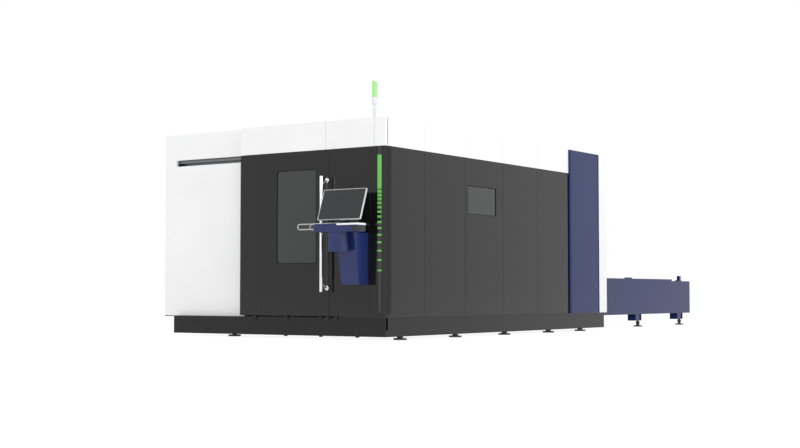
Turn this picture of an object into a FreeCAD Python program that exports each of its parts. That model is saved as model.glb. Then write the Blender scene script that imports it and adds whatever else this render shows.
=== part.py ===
import FreeCAD, Part

import math
import os
import re

import Sketcher

# A fiber laser cutting machine with a shuttle table.
# The enclosure stands in front, the open table with its pallet tracks behind it.
# +X is to the operator's right, +Y runs from the front door to the table's far end, +Z is up.
# The origin is on the floor, in the middle of the whole machine.
# Lengths are millimetres, angles are degrees.
# Every size is a cell of the sheet "dims"; every piece is bound to those cells.

doc = FreeCAD.newDocument("laser_cutter")

SIZES = {
    # Enclosure, seen from outside.
    "body_width": 3150,
    "body_length": 5130,
    "body_height": 2300,
    "band_height": 300,
    "band_depth": 150,
    "panel_depth": 40,
    "seam": 3,
    "proud_left": 375,
    "recess_depth": 80,
    "first_seam": 730,
    "panel_pitch": 830,
    "column_proud": 18,
    "left_column_proud": 40,
    "column_fold": 24,
    "roof_drop": 20,
    # Plinth and levelling feet.
    "foot_height": 36,
    "foot_radius": 70,
    "foot_thick": 18,
    "stem_radius": 25,
    "foot_inset": 30,
    "first_foot": 310,
    "foot_pitch": 1080,
    "last_foot_inset": 635,
    "left_foot": 715,
    "jack_first": 615,
    "jack_pitch": 475,
    "jack_radius": 20,
    "jack_height": 12,
    "jack_place": 45,
    "plinth_height": 194,
    "plinth_depth": 120,
    "plinth_wall": 8,
    "plinth_inset": 220,
    "plinth_short": 90,
    "sill_thick": 8,
    "drain_radius": 12,
    "slit_start": 12,
    "slit_width": 33,
    "slit_deep": 30,
    "slit_low": 105,
    # Rounded front corner with its light strip.
    "post_width": 190,
    "post_depth": 150,
    "post_radius": 120,
    "post_wall": 25,
    "post_foot_height": 55,
    "post_foot_slope": 35,
    "light_angle": 20,
    "light_width": 44,
    "light_thick": 8,
    "light_proud": 0.2,
    "light_top": 1908,
    "light_bar": 351,
    "light_pitch": 39,
    "light_growth": 0.47,
    "dash_length": 32,
    "dash_shrink": 1.25,
    # Front band and corner band.
    "band_seam_inset": 770,
    "corner_width": 140,
    "corner_thick": 30,
    "corner_gap": 22,
    # Sliding front door.
    "door_width": 1224,
    "door_thick": 60,
    "door_lift": 13,
    "door_travel": 970,
    "door_margin": 70,
    "door_groove": 307,
    "groove_width": 12,
    "groove_deep": 5,
    "window_left": 516,
    "window_width": 540,
    "window_bottom": 570,
    "window_height": 1000,
    "window_radius": 40,
    "window_lip": 6,
    "window_rebate": 15,
    "glass_thick": 8,
    "slot_bottom": 1935,
    "slot_height": 70,
    "rail_height": 30,
    "rail_depth": 30,
    "hanger_width": 120,
    "hanger_height": 28,
    "hanger_lip": 15,
    "hanger_inset": 10,
    "guide_first": 220,
    "guide_second": 658,
    "guide_third": 1115,
    "guide_fourth": 1215,
    "guide_fifth": 1324,
    "guide_length": 46,
    "guide_proud": 8,
    "guide_drop": 26,
    "guide_deep": 50,
    "fixed_gap": 6,
    "handle_inset": 22,
    "handle_low": 497,
    "handle_length": 1215,
    "handle_radius": 18,
    "handle_reach": 82,
    "handle_arm": 44,
    "arm_width": 24,
    "arm_inset": 79,
    "plate_width": 28,
    "plate_thick": 4,
    # Window in the right wall.
    "side_window_start": 45,
    "side_window_length": 630,
    "side_window_bottom": 1370,
    "side_window_height": 320,
    "side_window_radius": 20,
    # Rear walls around the pallet opening.
    "rear_depth": 250,
    "portal_inset": 425,
    "lintel_bottom": 1230,
    "lintel_depth": 80,
    "gate_thick": 30,
    "gate_setback": 130,
    "gate_engage": 25,
    "gate_bottom": 720,
    "gate_overlap": 15,
    # Bed inside the enclosure.
    "bed_inset": 495,
    "bed_width": 220,
    "bed_top": 880,
    "bed_wall": 16,
    "bed_start": 180,
    "bed_end_gap": 10,
    "cross_width": 150,
    "cross_height": 150,
    "guide_start": 200,
    "guide_end": 3950,
    "guide_inset": 105,
    "guide_width": 30,
    "guide_height": 25,
    "rack_inset": 162,
    "rack_width": 26,
    "rack_height": 22,
    # Gantry, carriage and cutting head.
    "gantry_home": 420,
    "gantry_inset": 90,
    "gantry_depth": 240,
    "gantry_height": 280,
    "gantry_wall": 14,
    "end_inset": 10,
    "end_width": 200,
    "end_length": 460,
    "end_height": 105,
    "motor_radius": 48,
    "motor_length": 190,
    "motor_gap": 3,
    "cross_rail": 20,
    "cross_rail_edge": 30,
    "cross_rack": 15,
    "carriage_half": 200,
    "carriage_thick": 40,
    "carriage_edge": 10,
    "slide_rail": 15,
    "slide_half": 90,
    "slide_thick": 25,
    "slide_bottom": 900,
    "slide_height": 320,
    "head_half": 55,
    "head_deep": 100,
    "head_bottom": 1000,
    "head_height": 190,
    "head_radius": 12,
    "barrel_radius": 42,
    "barrel_length": 110,
    "nozzle_radius": 30,
    "nozzle_length": 90,
    "nozzle_tip": 8,
    "nozzle_taper": 54,
    # Pallets, their tracks and the chain drive.
    "pallet_gap": 140,
    "pallet_length": 3150,
    "pallet_start": 620,
    "upper_level": 585,
    "lower_level": 345,
    "pallet_travel": 4810,
    "frame_height": 80,
    "frame_width": 60,
    "slat_rise": 25,
    "slat_height": 70,
    "slat_thick": 4,
    "slat_margin": 65,
    "slat_tooth": 15,
    "wheel_radius": 25,
    "wheel_width": 45,
    "wheel_inset": 150,
    "lug_inset": 10,
    "track_gap": 15,
    "track_thick": 15,
    "track_drop": 10,
    "track_start": 300,
    "track_inset": 155,
    "chain_inset": 80,
    "chain_half": 15,
    "chain_thick": 14,
    "chain_level": 517,
    "sprocket_radius": 42.7,
    "sprocket_half": 10,
    "idler_place": 470,
    "drive_end_inset": 105,
    "shaft_radius": 20,
    "shaft_inset": 20,
    "drive_inset": 25,
    "bearing_half": 42,
    "bearing_depth": 60,
    "gearbox_width": 110,
    "gearbox_length": 100,
    "gearbox_half": 60,
    # Shuttle table behind the enclosure.
    "table_proud": 45,
    "table_gap": 10,
    "table_length": 3715,
    "table_bottom": 178,
    "table_height": 514,
    "web_thick": 8,
    "flange": 60,
    "table_step": 691,
    "step_drop": 25,
    "tie_height": 80,
    "first_tie_inset": 100,
    "first_block_inset": 1815,
    "last_block_inset": 387,
    "block_width": 126,
    "block_length": 200,
    "block_height": 92,
    "block_recess": 12,
    "block_rim": 15,
    "pin_edge": 30,
    "pin_shift": 35,
    "pin_radius": 13,
    "ball_radius": 29,
    "latch_inset": 1412,
    "latch_length": 200,
    "latch_width": 27,
    "latch_height": 15,
    "stop_inset": 405,
    "stop_width": 40,
    "stop_length": 60,
    "stop_base": 110,
    "stop_base_thick": 14,
    "stop_rise": 79,
    # Units in the rear corners, and the dust outlet.
    "unit_gap": 15,
    "unit_width": 430,
    "unit_back": 30,
    "unit_length": 760,
    "source_height": 800,
    "cabinet_height": 1000,
    "duct_gap": 10,
    "duct_width": 220,
    "duct_height": 200,
    "duct_start": 300,
    "duct_wall": 3,
    "vent_start": 400,
    "vent_height": 12,
    "vent_pitch": 48,
    "vent_inset": 100,
    "vent_deep": 5,
    "outlet_radius": 100,
    "outlet_proud": 83,
    # Operator console on the fixed front panel.
    "bracket_inset": 440,
    "bracket_width": 225,
    "bracket_bottom": 570,
    "bracket_low_deep": 160,
    "bracket_top_deep": 256,
    "box_inset": 443,
    "box_width": 176,
    "box_height": 200,
    "box_deep": 132,
    "box_gap": 3,
    "box_radius": 12,
    "desk_inset": 635,
    "desk_width": 560,
    "desk_top": 1185,
    "desk_thick": 80,
    "desk_deep": 165,
    "desk_front": 400,
    "desk_radius": 30,
    "loop_major": 27,
    "loop_minor": 9,
    "loop_left": 196,
    "loop_front": 15,
    "loop_back": 95,
    "loop_short": 100,
    "loop_gap": 4,
    "keyboard_inset": 322,
    "keyboard_width": 250,
    "keyboard_front": 405,
    "keyboard_deep": 165,
    "keyboard_sink": 13,
    "keyboard_rise": 9,
    "keyboard_radius": 8,
    "screen_inset": 317,
    "screen_width": 538,
    "screen_height": 336,
    "screen_thick": 40,
    "screen_rim": 18,
    "screen_back": 45,
    "screen_border": 12,
    "screen_glass": 3,
    "screen_tilt": 20,
    "pivot_reach": 262,
    "pivot_height": 1368,
    "pivot_back": 20,
    "lug_half": 20,
    "lug_radius": 12,
    "cheek_width": 12,
    "cheek_radius": 16,
    "yoke_pin": 8,
    "cheek_gap": 2,
    "mast_gap": 3,
    "mast_deep": 24,
    "mast_foot": 85,
    "mast_foot_deep": 60,
    "mast_foot_thick": 12,
    "stop_height": 1010,
    "start_height": 930,
    "button_place": 120,
    "stop_radius": 20,
    "button_radius": 11,
    "button_proud": 6,
    "button_deep": 12,
    "stop_gap": 8,
    "stop_thick": 14,
    # Signal tower on the front band.
    "tower_inset": 220,
    "tower_y": 120,
    "tower_base": 30,
    "tower_foot": 12,
    "tower_pole": 16,
    "tower_pole_top": 2455,
    "tower_ring": 70,
    "tower_radius": 28,
    "tower_lamp": 165,
    "tower_cap": 14,
    # Clearances.
    "fit_gap": 0.3,
    "bearing_gap": 0.05,
}

# Counts.
DASHES = 14
VENTS = 6
JACKS = 3
SLATS = 30
TEETH = 20
WHEELS = 4
SIDE_PANELS = 5
WINDOW_PANEL = 2

# Share of the light strip's pitch between the bar and the first dash.
FIRST_DASH = 0.7


def dash_drop(index):
    """Depth of a dash's middle under the bar: the spacing grows with the square of its place in the row."""
    squares = sum(step ** 2 for step in range(index))
    return f"(light_pitch * {index + FIRST_DASH} + light_growth * {squares})"


# Places that follow from the sizes. Places along Y are counted from the front door's face.
PLACES = {
    "front": "(keyboard_front - table_end) / 2",
    "side": "body_width / 2",
    "wall_inner": "side - panel_depth",
    "plinth_left": "side - plinth_inset",
    "plinth_length": "body_length - plinth_short",
    "last_foot": "plinth_length - last_foot_inset",
    "wall_bottom": "foot_height + plinth_height",
    "band_bottom": "body_height - band_height",
    "roof_top": "body_height - roof_drop",
    "proud_edge": "-proud_left",
    "recess_back": "recess_depth + panel_depth",
    "rear_start": "body_length - rear_depth",
    "door_low": "proud_edge + seam",
    "door_high": "door_low + door_width",
    "door_bottom": "wall_bottom + door_lift",
    "door_top": "band_bottom - seam",
    "post_low": "side - post_width",
    "post_centre": "side - post_radius",
    "band_seam_x": "side - band_seam_inset",
    "rail_bottom": "band_bottom - rail_height",
    "handle_x": "door_high - handle_inset",
    "portal_half": "side - portal_inset",
    "bed_inner": "side - bed_inset",
    "bed_end": "rear_start - bed_end_gap",
    "guide_offset": "bed_inner + guide_inset",
    "rack_offset": "bed_inner + rack_inset",
    "guide_top": "bed_top + guide_height",
    "gantry_length": "2 * (bed_inner + bed_width - gantry_inset)",
    "end_inner": "bed_inner + end_inset",
    "end_bottom": "guide_top + fit_gap",
    "gantry_bottom": "end_bottom + end_height",
    "gantry_top": "gantry_bottom + gantry_height",
    "gantry_back": "gantry_home + gantry_depth / 2",
    "carriage_front": "gantry_back + cross_rail + fit_gap",
    "carriage_back": "carriage_front + carriage_thick",
    "carriage_top": "gantry_top - carriage_edge",
    "slide_front": "carriage_back + slide_rail + fit_gap",
    "slide_back": "slide_front + slide_thick",
    "head_middle": "slide_back + head_deep / 2",
    "barrel_bottom": "head_bottom - barrel_length",
    "pallet_half": "bed_inner - pallet_gap",
    "slat_start": "frame_width + slat_margin",
    "track_inner": "pallet_half + track_gap",
    "track_end": "table_end - track_inset",
    "chain_line": "pallet_half - chain_inset",
    "shaft_half": "bed_inner - shaft_inset",
    "drive_half": "table_half - drive_inset",
    "drive_place": "table_end - drive_end_inset",
    "table_half": "portal_half + table_proud",
    "table_start": "body_length + table_gap",
    "table_end": "table_start + table_length",
    "first_tie": "table_start + first_tie_inset",
    "table_foot_first": "table_start + first_block_inset",
    "table_foot_last": "table_end - last_block_inset",
    "latch_start": "table_start + latch_inset",
    "stop_start": "table_end - stop_inset",
    "web_inner": "table_half - web_thick",
    "table_top": "table_bottom + table_height",
    "bracket_left": "side - bracket_inset",
    "box_left": "side - box_inset",
    "desk_left": "side - desk_inset",
    "desk_bottom": "desk_top - desk_thick",
    "keyboard_left": "side - keyboard_inset",
    "screen_middle": "side - screen_inset",
    "chain_inner": "sprocket_radius + fit_gap",
    "chain_outer": "chain_inner + chain_thick",
    "unit_inner": "wall_inner - unit_gap - unit_width",
    "unit_start": "rear_start - unit_back - unit_length",
    "duct_inner": "bed_inner + bed_width + duct_gap",
    "duct_middle": "duct_inner + duct_width / 2",
    "duct_level": "wall_bottom + duct_height / 2",
    "grab_middle": "desk_top + loop_minor - loop_major",
    "tower_x": "side - tower_inset",
    "light_foot": f"light_top - light_bar - {dash_drop(DASHES - 1)} - dash_length / 2",
}

WORD = re.compile(r"[a-z_][a-z0-9_]*")

dims = doc.addObject("Spreadsheet::Sheet", "dims")
for row, (alias, size) in enumerate(SIZES.items(), start=1):
    dims.set(f"A{row}", alias)
    dims.set(f"B{row}", str(size))
    dims.setAlias(f"B{row}", alias)
doc.recompute()

PARTS = {}


def expand(text):
    """Spell an expression out in cells of the sheet."""
    def spell(match):
        word = match.group()
        if word in SIZES:
            return "dims." + word
        if word in PLACES:
            return "(" + expand(PLACES[word]) + ")"
        return word
    return WORD.sub(spell, str(text))


def bind(item, prop, text):
    """Tie one property of an object to sizes and places."""
    item.setExpression(prop, expand(text))


def along(axis, place):
    """Places along Y are counted from the front face."""
    return f"front + {place}" if axis == "y" else str(place)


def move(item, x=0, y=0, z=0):
    """Put an object's own origin at a place."""
    for axis, place in (("x", x), ("y", y), ("z", z)):
        bind(item, f"Placement.Base.{axis}", along(axis, place))
    return item


def span(side, low, high):
    """Low and high X of a piece on the right (+1), or of its mirror image on the left (-1)."""
    return (low, high) if side > 0 else (f"-({high})", f"-({low})")


def box(name, x, y, z):
    """A block between a low and a high place on each axis."""
    item = doc.addObject("Part::Box", name)
    sizes = (("Length", x), ("Width", y), ("Height", z))
    for prop, (low, high) in sizes:
        bind(item, prop, f"({high}) - ({low})")
    return move(item, x[0], y[0], z[0])


TURNS = {
    "x": FreeCAD.Rotation(FreeCAD.Vector(0, 1, 0), 90),
    "y": FreeCAD.Rotation(FreeCAD.Vector(1, 0, 0), -90),
    "z": FreeCAD.Rotation(),
}


def cylinder(name, axis, x, y, z, radius):
    """A round bar. Along its axis it has a low and a high place, on the others its centre."""
    item = doc.addObject("Part::Cylinder", name)
    item.Placement.Rotation = TURNS[axis]
    places = {"x": x, "y": y, "z": z}
    low, high = places[axis]
    places[axis] = low
    bind(item, "Radius", radius)
    bind(item, "Height", f"({high}) - ({low})")
    return move(item, **places)


def cone(name, x, y, z, low_radius, high_radius):
    """An upright cone, between a low and a high Z."""
    item = doc.addObject("Part::Cone", name)
    bind(item, "Radius1", low_radius)
    bind(item, "Radius2", high_radius)
    bind(item, "Height", f"({z[1]}) - ({z[0]})")
    return move(item, x, y, z[0])


def fuse(name, items):
    """Several shapes that are one piece."""
    item = doc.addObject("Part::MultiFuse", name)
    item.Shapes = items
    item.Refine = True
    return item


def group(name, items):
    """Like pieces that stay separate solids."""
    item = doc.addObject("Part::Compound", name)
    item.Links = items
    return item


def cut(name, base, tools):
    """A shape with others taken out of it."""
    item = doc.addObject("Part::Cut", name)
    item.Base = base
    item.Tool = tools[0] if len(tools) == 1 else fuse(name + "_tools", tools)
    item.Refine = True
    return item


def rounded(name, axis, x, y, z, radius):
    """A block whose four edges along one axis are rounded."""
    limits = {"x": x, "y": y, "z": z}
    across = [letter for letter in "xyz" if letter != axis]
    pieces = []
    for letter in across:
        low, high = limits[letter]
        inner = dict(limits)
        inner[letter] = (f"{low} + {radius}", f"{high} - {radius}")
        pieces.append(box(f"{name}_slab", **inner))
    first, second = across
    for first_end in (f"{limits[first][0]} + {radius}", f"{limits[first][1]} - {radius}"):
        for second_end in (f"{limits[second][0]} + {radius}", f"{limits[second][1]} - {radius}"):
            centre = dict(limits)
            centre[first] = first_end
            centre[second] = second_end
            pieces.append(cylinder(f"{name}_edge", axis, radius=radius, **centre))
    return fuse(name, pieces)


def tube(name, axis, x, y, z, wall):
    """A box section, open at both ends of its axis."""
    limits = {"x": x, "y": y, "z": z}
    inner = {letter: (f"{low} + {wall}", f"{high} - {wall}") for letter, (low, high) in limits.items()}
    inner[axis] = limits[axis]
    return cut(name, box(name + "_outer", x, y, z), [box(name + "_inner", **inner)])


def body(name, x=0, y=0, z=0):
    """A PartDesign body with its own origin at a place."""
    return move(doc.addObject("PartDesign::Body", name), x, y, z)


def plane(owner, role):
    """One of a body's own planes or axes."""
    return next(item for item in owner.Origin.OriginFeatures if item.Role == role)


def outline(owner, role, points):
    """A closed outline on one of the body's planes, each corner held by two sizes."""
    sketch = owner.newObject("Sketcher::SketchObject", owner.Name + "_outline")
    sketch.AttachmentSupport = [(plane(owner, role), "")]
    sketch.MapMode = "FlatFace"
    count = len(points)
    turn = 2 * math.pi / count
    starts = [FreeCAD.Vector(math.cos(turn * index), math.sin(turn * index)) for index in range(count)]
    for index in range(count):
        sketch.addGeometry(Part.LineSegment(starts[index], starts[(index + 1) % count]))
    for index in range(count):
        sketch.addConstraint(Sketcher.Constraint("Coincident", index, 2, (index + 1) % count, 1))
    for index, (across, up) in enumerate(points):
        start = starts[index]
        for kind, text, value in (("DistanceX", across, start.x), ("DistanceY", up, start.y)):
            number = sketch.addConstraint(Sketcher.Constraint(kind, -1, 1, index, 1, value))
            bind(sketch, f"Constraints[{number}]", text)
    return sketch


def pad(owner, sketch, length, both_ways=False):
    """Give an outline its thickness."""
    feature = owner.newObject("PartDesign::Pad", owner.Name + "_pad")
    feature.Profile = sketch
    feature.Midplane = both_ways
    bind(feature, "Length", length)
    return feature


def turned(name, x, y, z, points):
    """A turned piece: an outline of radius and height, revolved about the upright axis."""
    owner = body(name, x, y, z)
    sketch = outline(owner, "XZ_Plane", points)
    feature = owner.newObject("PartDesign::Revolution", name + "_turned")
    feature.Profile = sketch
    feature.ReferenceAxis = (plane(owner, "Z_Axis"), [""])
    feature.Angle = 360
    return owner


def part(label, item):
    """Name a finished piece, which is one file."""
    item.Label = label
    PARTS[label] = item
    return item


# Plinth, feet and bed.

def make_feet():
    """Round levelling feet under the plinth and ball-jointed ones under the table."""
    feet = []
    rows = [f"first_foot + {index} * foot_pitch" for index in range(4)] + ["last_foot"]
    places = [("side - foot_inset", y, "foot_height") for y in rows]
    places += [("-(plinth_left - foot_inset)", y, "foot_height") for y in rows[1:]]
    places.append(("-left_foot", "first_foot", "wall_bottom - cross_height"))
    for x, y, top in places:
        disc = cylinder("foot_pad", "z", x, y, ("0", "foot_thick"), "foot_radius")
        stem = cylinder("foot_stem", "z", x, y, ("foot_thick", top), "stem_radius")
        feet.append(fuse("foot", [disc, stem]))
    for side in (-1, 1):
        for block in ("table_foot_first", "table_foot_last"):
            x = f"{side} * (table_half - pin_edge)"
            y = f"{block} + pin_shift"
            top = "table_bottom - block_height"
            disc = cone("foot_pad", x, y, ("0", "foot_thick"), "foot_radius", "foot_radius - foot_thick")
            neck = cylinder("foot_pin", "z", x, y, ("foot_thick", top), "pin_radius")
            ball = doc.addObject("Part::Sphere", "foot_ball")
            bind(ball, "Radius", "ball_radius")
            move(ball, x, y, f"{top} - ball_radius")
            feet.append(fuse("foot", [disc, neck, ball]))
    part("levelling_feet", group("feet", feet))


def capped_beam(name, y, height):
    """A cross beam of the plinth with a plate over each end."""
    beam = tube(name, "x", ("-plinth_left", "side"), y, height, "plinth_wall")
    ends = [("-plinth_left", "-plinth_left + plinth_wall"), ("side - plinth_wall", "side")]
    return fuse(name + "_capped", [beam] + [box("end_plate", x, y, height) for x in ends])


def make_plinth():
    """Box sections all round, and a sill that carries the overhanging left wall."""
    height = ("foot_height", "wall_bottom")
    beam = capped_beam("front_beam", ("0", "plinth_depth"), height)
    slit = box("slit", ("side - slit_deep", "side"), ("slit_start", "slit_start + slit_width"),
               ("slit_low", "wall_bottom"))
    slotted = cut("slit_beam", beam, [slit])
    extras = []
    for centre in ("guide_first", "guide_second", "guide_third", "guide_fourth", "guide_fifth"):
        x = (f"proud_edge + {centre} - guide_length / 2", f"proud_edge + {centre} + guide_length / 2")
        extras.append(box("door_guide", x, ("-guide_proud", "guide_deep"),
                          ("wall_bottom", "door_bottom - fit_gap")))
        extras.append(box("guide_plate", x, ("-guide_proud", "0"),
                          ("wall_bottom - guide_drop", "door_bottom - fit_gap")))
    for index in range(JACKS):
        extras.append(cylinder("jack", "z", f"proud_edge + jack_first + {index} * jack_pitch", "jack_place",
                               ("foot_height - jack_height", "foot_height"), "jack_radius"))
    part("plinth_front", fuse("front_plinth", [slotted] + extras))
    length = ("plinth_depth", "plinth_length - plinth_depth")
    right = tube("right_beam", "y", ("side - plinth_depth", "side"), length, height, "plinth_wall")
    left = tube("left_beam", "y", ("-plinth_left", "-plinth_left + plinth_depth"), length, height,
                "plinth_wall")
    sill = box("sill", ("-side", "-plinth_left"), ("recess_depth", "rear_start + rear_depth"),
               ("wall_bottom - sill_thick", "wall_bottom"))
    rear_y = ("plinth_length - plinth_depth", "plinth_length")
    drain = cylinder("drain", "z", "0", "plinth_length - plinth_depth / 2",
                     ("foot_height", "foot_height + plinth_wall"), "drain_radius")
    rear = cut("drained_beam", capped_beam("rear_beam", rear_y, height), [drain])
    part("plinth_beams", group("beams", [right, fuse("left_sill_beam", [left, sill]), rear]))


def make_bed(bearings):
    """Two side beams on cross members, with the guides and racks for the gantry."""
    members = []
    places = [f"first_foot + {index} * foot_pitch" for index in range(4)] + ["last_foot"]
    for y in places:
        members.append(box("member", ("plinth_depth - plinth_left", "side - plinth_depth"),
                           (f"{y} - cross_width / 2", f"{y} + cross_width / 2"),
                           ("wall_bottom - cross_height", "wall_bottom")))
    part("bed_cross_members", group("members", members))
    beams = []
    guides = []
    for side, bearing in zip((-1, 1), bearings):
        x = span(side, "bed_inner", "bed_inner + bed_width")
        beam = tube("bed_tube", "y", x, ("bed_start", "bed_end"), ("wall_bottom", "bed_top"), "bed_wall")
        beams.append(fuse("bed_beam", [beam, bearing]))
        run = ("guide_start", "guide_end")
        rail = span(side, "guide_offset - guide_width / 2", "guide_offset + guide_width / 2")
        rack = span(side, "rack_offset - rack_width / 2", "rack_offset + rack_width / 2")
        guides.append(box("long_rail", rail, run, ("bed_top", "guide_top")))
        guides.append(box("long_rack", rack, run, ("bed_top", "bed_top + rack_height")))
    part("bed_beams", group("bed_pair", beams))
    part("long_guides", group("guides", guides))


# Front of the enclosure.

def make_corner_post():
    """A rounded corner of folded sheet with a flat groove for the light strip."""
    height = ("wall_bottom", "band_bottom")
    front_leg = box("front_leg", ("post_low", "post_centre"), ("0", "post_wall"), height)
    side_leg = box("side_leg", ("side - post_wall", "side"), ("post_radius", "post_depth"), height)
    outer = cylinder("corner_outer", "z", "post_centre", "post_radius", height, "post_radius")
    inner = cylinder("corner_inner", "z", "post_centre", "post_radius", height, "post_radius - post_wall")
    for round_part in (outer, inner):
        round_part.Angle = 90
        round_part.Placement.Rotation = FreeCAD.Rotation(FreeCAD.Vector(0, 0, 1), -90)
    corner = cut("corner", outer, [inner])
    foot = doc.addObject("Part::Wedge", "post_foot")
    foot.Placement.Rotation = FreeCAD.Rotation(FreeCAD.Vector(1, 0, 0), 90)
    wedge = (
        ("Xmin", "0"), ("X2min", "0"), ("Xmax", "post_width"), ("X2max", "post_width - post_foot_slope"),
        ("Ymin", "0"), ("Ymax", "post_foot_height"),
        ("Zmin", "-post_depth"), ("Z2min", "-post_depth"), ("Zmax", "0"), ("Z2max", "-post_foot_slope"),
    )
    for prop, size in wedge:
        bind(foot, prop, size)
    move(foot, "post_low", "0", "wall_bottom")
    core = box("band_core", ("side - corner_width + seam", "wall_inner - seam"),
               ("corner_thick", "band_depth"), ("band_bottom", "roof_top"))
    shell = fuse("post_shell", [front_leg, side_leg, corner, foot, core])
    groove = light_piece("light_groove", "0", "light_top + seam - light_foot", "light_foot - seam")
    part("corner_post", cut("grooved_post", shell, [groove]))


def light_piece(name, margin, length, low):
    """A flat piece that fills the groove of the rounded corner and stands a hair proud of it."""
    item = doc.addObject("Part::Box", name)
    item.Placement.Rotation = FreeCAD.Rotation(FreeCAD.Vector(0, 0, 1), 1)
    bind(item, "Placement.Rotation.Angle", "light_angle")
    bind(item, "Length", f"light_width - 2 * ({margin})")
    bind(item, "Width", "light_thick")
    bind(item, "Height", length)
    reach = "(post_radius + light_proud)"
    half = f"(light_width / 2 - ({margin}))"
    x = f"post_centre + {reach} * sin(light_angle) - {half} * cos(light_angle)"
    y = f"post_radius - {reach} * cos(light_angle) - {half} * sin(light_angle)"
    return move(item, x, y, low)


def make_corner_light():
    """One long bar of light, then dashes that shrink and spread towards the bottom."""
    pieces = [light_piece("light_bar", "fit_gap", "light_bar", "light_top - light_bar")]
    for index in range(DASHES):
        length = f"(dash_length - dash_shrink * {index})"
        low = f"light_top - light_bar - {dash_drop(index)} - {length} / 2"
        pieces.append(light_piece("dash", "fit_gap", length, low))
    part("corner_light", group("lights", pieces))


def make_front():
    """The set-back left wall with its slot, the fixed panel, the white bands and the door's rail."""
    wall = box("set_back_wall", ("-side", "proud_edge"), ("recess_depth", "recess_back"),
               ("wall_bottom", "body_height"))
    slot = box("slot", ("door_low - door_travel - door_margin", "proud_edge"),
               ("recess_depth", "recess_back"), ("slot_bottom", "slot_bottom + slot_height"))
    part("left_front_wall", cut("slotted_wall", wall, [slot]))
    rail = box("rail", ("door_low - door_travel - 2 * door_margin", "door_high"),
               ("recess_back", "recess_back + rail_depth"), ("rail_bottom", "band_bottom"))
    part("door_rail", rail)
    fixed = box("fixed_sheet", ("door_high + fixed_gap", "post_low - seam"), ("0", "panel_depth"),
                ("wall_bottom", "band_bottom"))
    guide_end = "proud_edge + guide_fifth + guide_length / 2"
    notch = box("guide_notch", ("door_high + fixed_gap", f"{guide_end} + seam"), ("0", "panel_depth"),
                ("wall_bottom", "door_bottom"))
    part("front_fixed_panel", cut("fixed_panel", fixed, [notch]))
    height = ("band_bottom", "body_height")
    depth = ("0", "band_depth")
    left = box("band_left", ("proud_edge", "band_seam_x - seam / 2"), depth, height)
    right = box("band_right", ("band_seam_x + seam / 2", "side - corner_width - seam"), depth, height)
    part("front_band_panels", group("front_bands", [left, right]))
    part("corner_band", box("corner", ("side - corner_width", "side"), ("0", "corner_thick"), height))


def make_door():
    """A hollow door with a rounded window, hung on two carriages, and its bar handle."""
    x = ("door_low", "door_high")
    slab = box("door_slab", x, ("0", "door_thick"), ("door_bottom", "door_top"))
    hollow = box("door_hollow", ("door_low + panel_depth", "door_high - panel_depth"),
                 ("door_thick / 2", "door_thick"), ("door_bottom + panel_depth", "door_top - panel_depth"))
    left = "door_low + window_left"
    low = "wall_bottom + window_bottom"
    view = rounded("window_view", "y", (left, f"{left} + window_width"), ("0", "door_thick"),
                   (low, f"{low} + window_height"), "window_radius")
    frame = box("window_frame", (f"{left} - 2 * window_rebate", f"{left} + window_width + 2 * window_rebate"),
                ("door_thick / 2", "door_thick - window_lip"),
                (f"{low} - 2 * window_rebate", f"{low} + window_height + 2 * window_rebate"))
    rebate = box("window_rebate", (f"{left} - window_rebate", f"{left} + window_width + window_rebate"),
                 ("window_lip", "door_thick"),
                 (f"{low} - window_rebate", f"{low} + window_height + window_rebate"))
    groove = box("fold_line", ("door_low + door_groove", "door_low + door_groove + groove_width"),
                 ("0", "groove_deep"), ("door_bottom", "door_top"))
    shell = cut("door_shell", slab, [hollow])
    framed = fuse("framed_door", [shell, frame])
    opened = cut("opened_door", framed, [view, rebate, groove])
    plate = box("handle_plate", ("handle_x - plate_width / 2", "handle_x + plate_width / 2"),
                ("-plate_thick", "0"), ("handle_low", "handle_low + handle_length"))
    part("front_door", fuse("door", [opened, plate]))
    edge = "(window_rebate - fit_gap)"
    pane = box("pane", (f"{left} - {edge}", f"{left} + window_width + {edge}"),
               ("window_lip", "window_lip + glass_thick"),
               (f"{low} - {edge}", f"{low} + window_height + {edge}"))
    part("door_window", pane)

    bar = cylinder("bar", "z", "handle_x", "-(plate_thick + handle_reach + handle_radius)",
                   ("handle_low", "handle_low + handle_length"), "handle_radius")
    arms = []
    for z in ("handle_low + arm_inset", "handle_low + handle_length - arm_inset"):
        arms.append(box("arm", ("handle_x - arm_width / 2", "handle_x + arm_width / 2"),
                        ("-(plate_thick + handle_reach + handle_radius)", "-plate_thick"),
                        (f"{z} - handle_arm / 2", f"{z} + handle_arm / 2")))
    part("door_handle", fuse("handle", [bar] + arms))

    carriages = []
    for start in ("door_low + hanger_inset", "door_high - hanger_inset - hanger_width"):
        x = (start, f"{start} + hanger_width")
        top = "rail_bottom - fit_gap"
        arm = box("hanger_arm", x, ("door_thick", "recess_back + rail_depth + fit_gap + hanger_lip"),
                  (f"{top} - hanger_height", top))
        lip = box("hanger_lip", x,
                  ("recess_back + rail_depth + fit_gap", "recess_back + rail_depth + fit_gap + hanger_lip"),
                  (top, "band_bottom - hanger_lip"))
        carriages.append(fuse("hanger", [arm, lip]))
    part("door_hangers", group("hangers", carriages))


# Sides, rear and roof.

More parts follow.
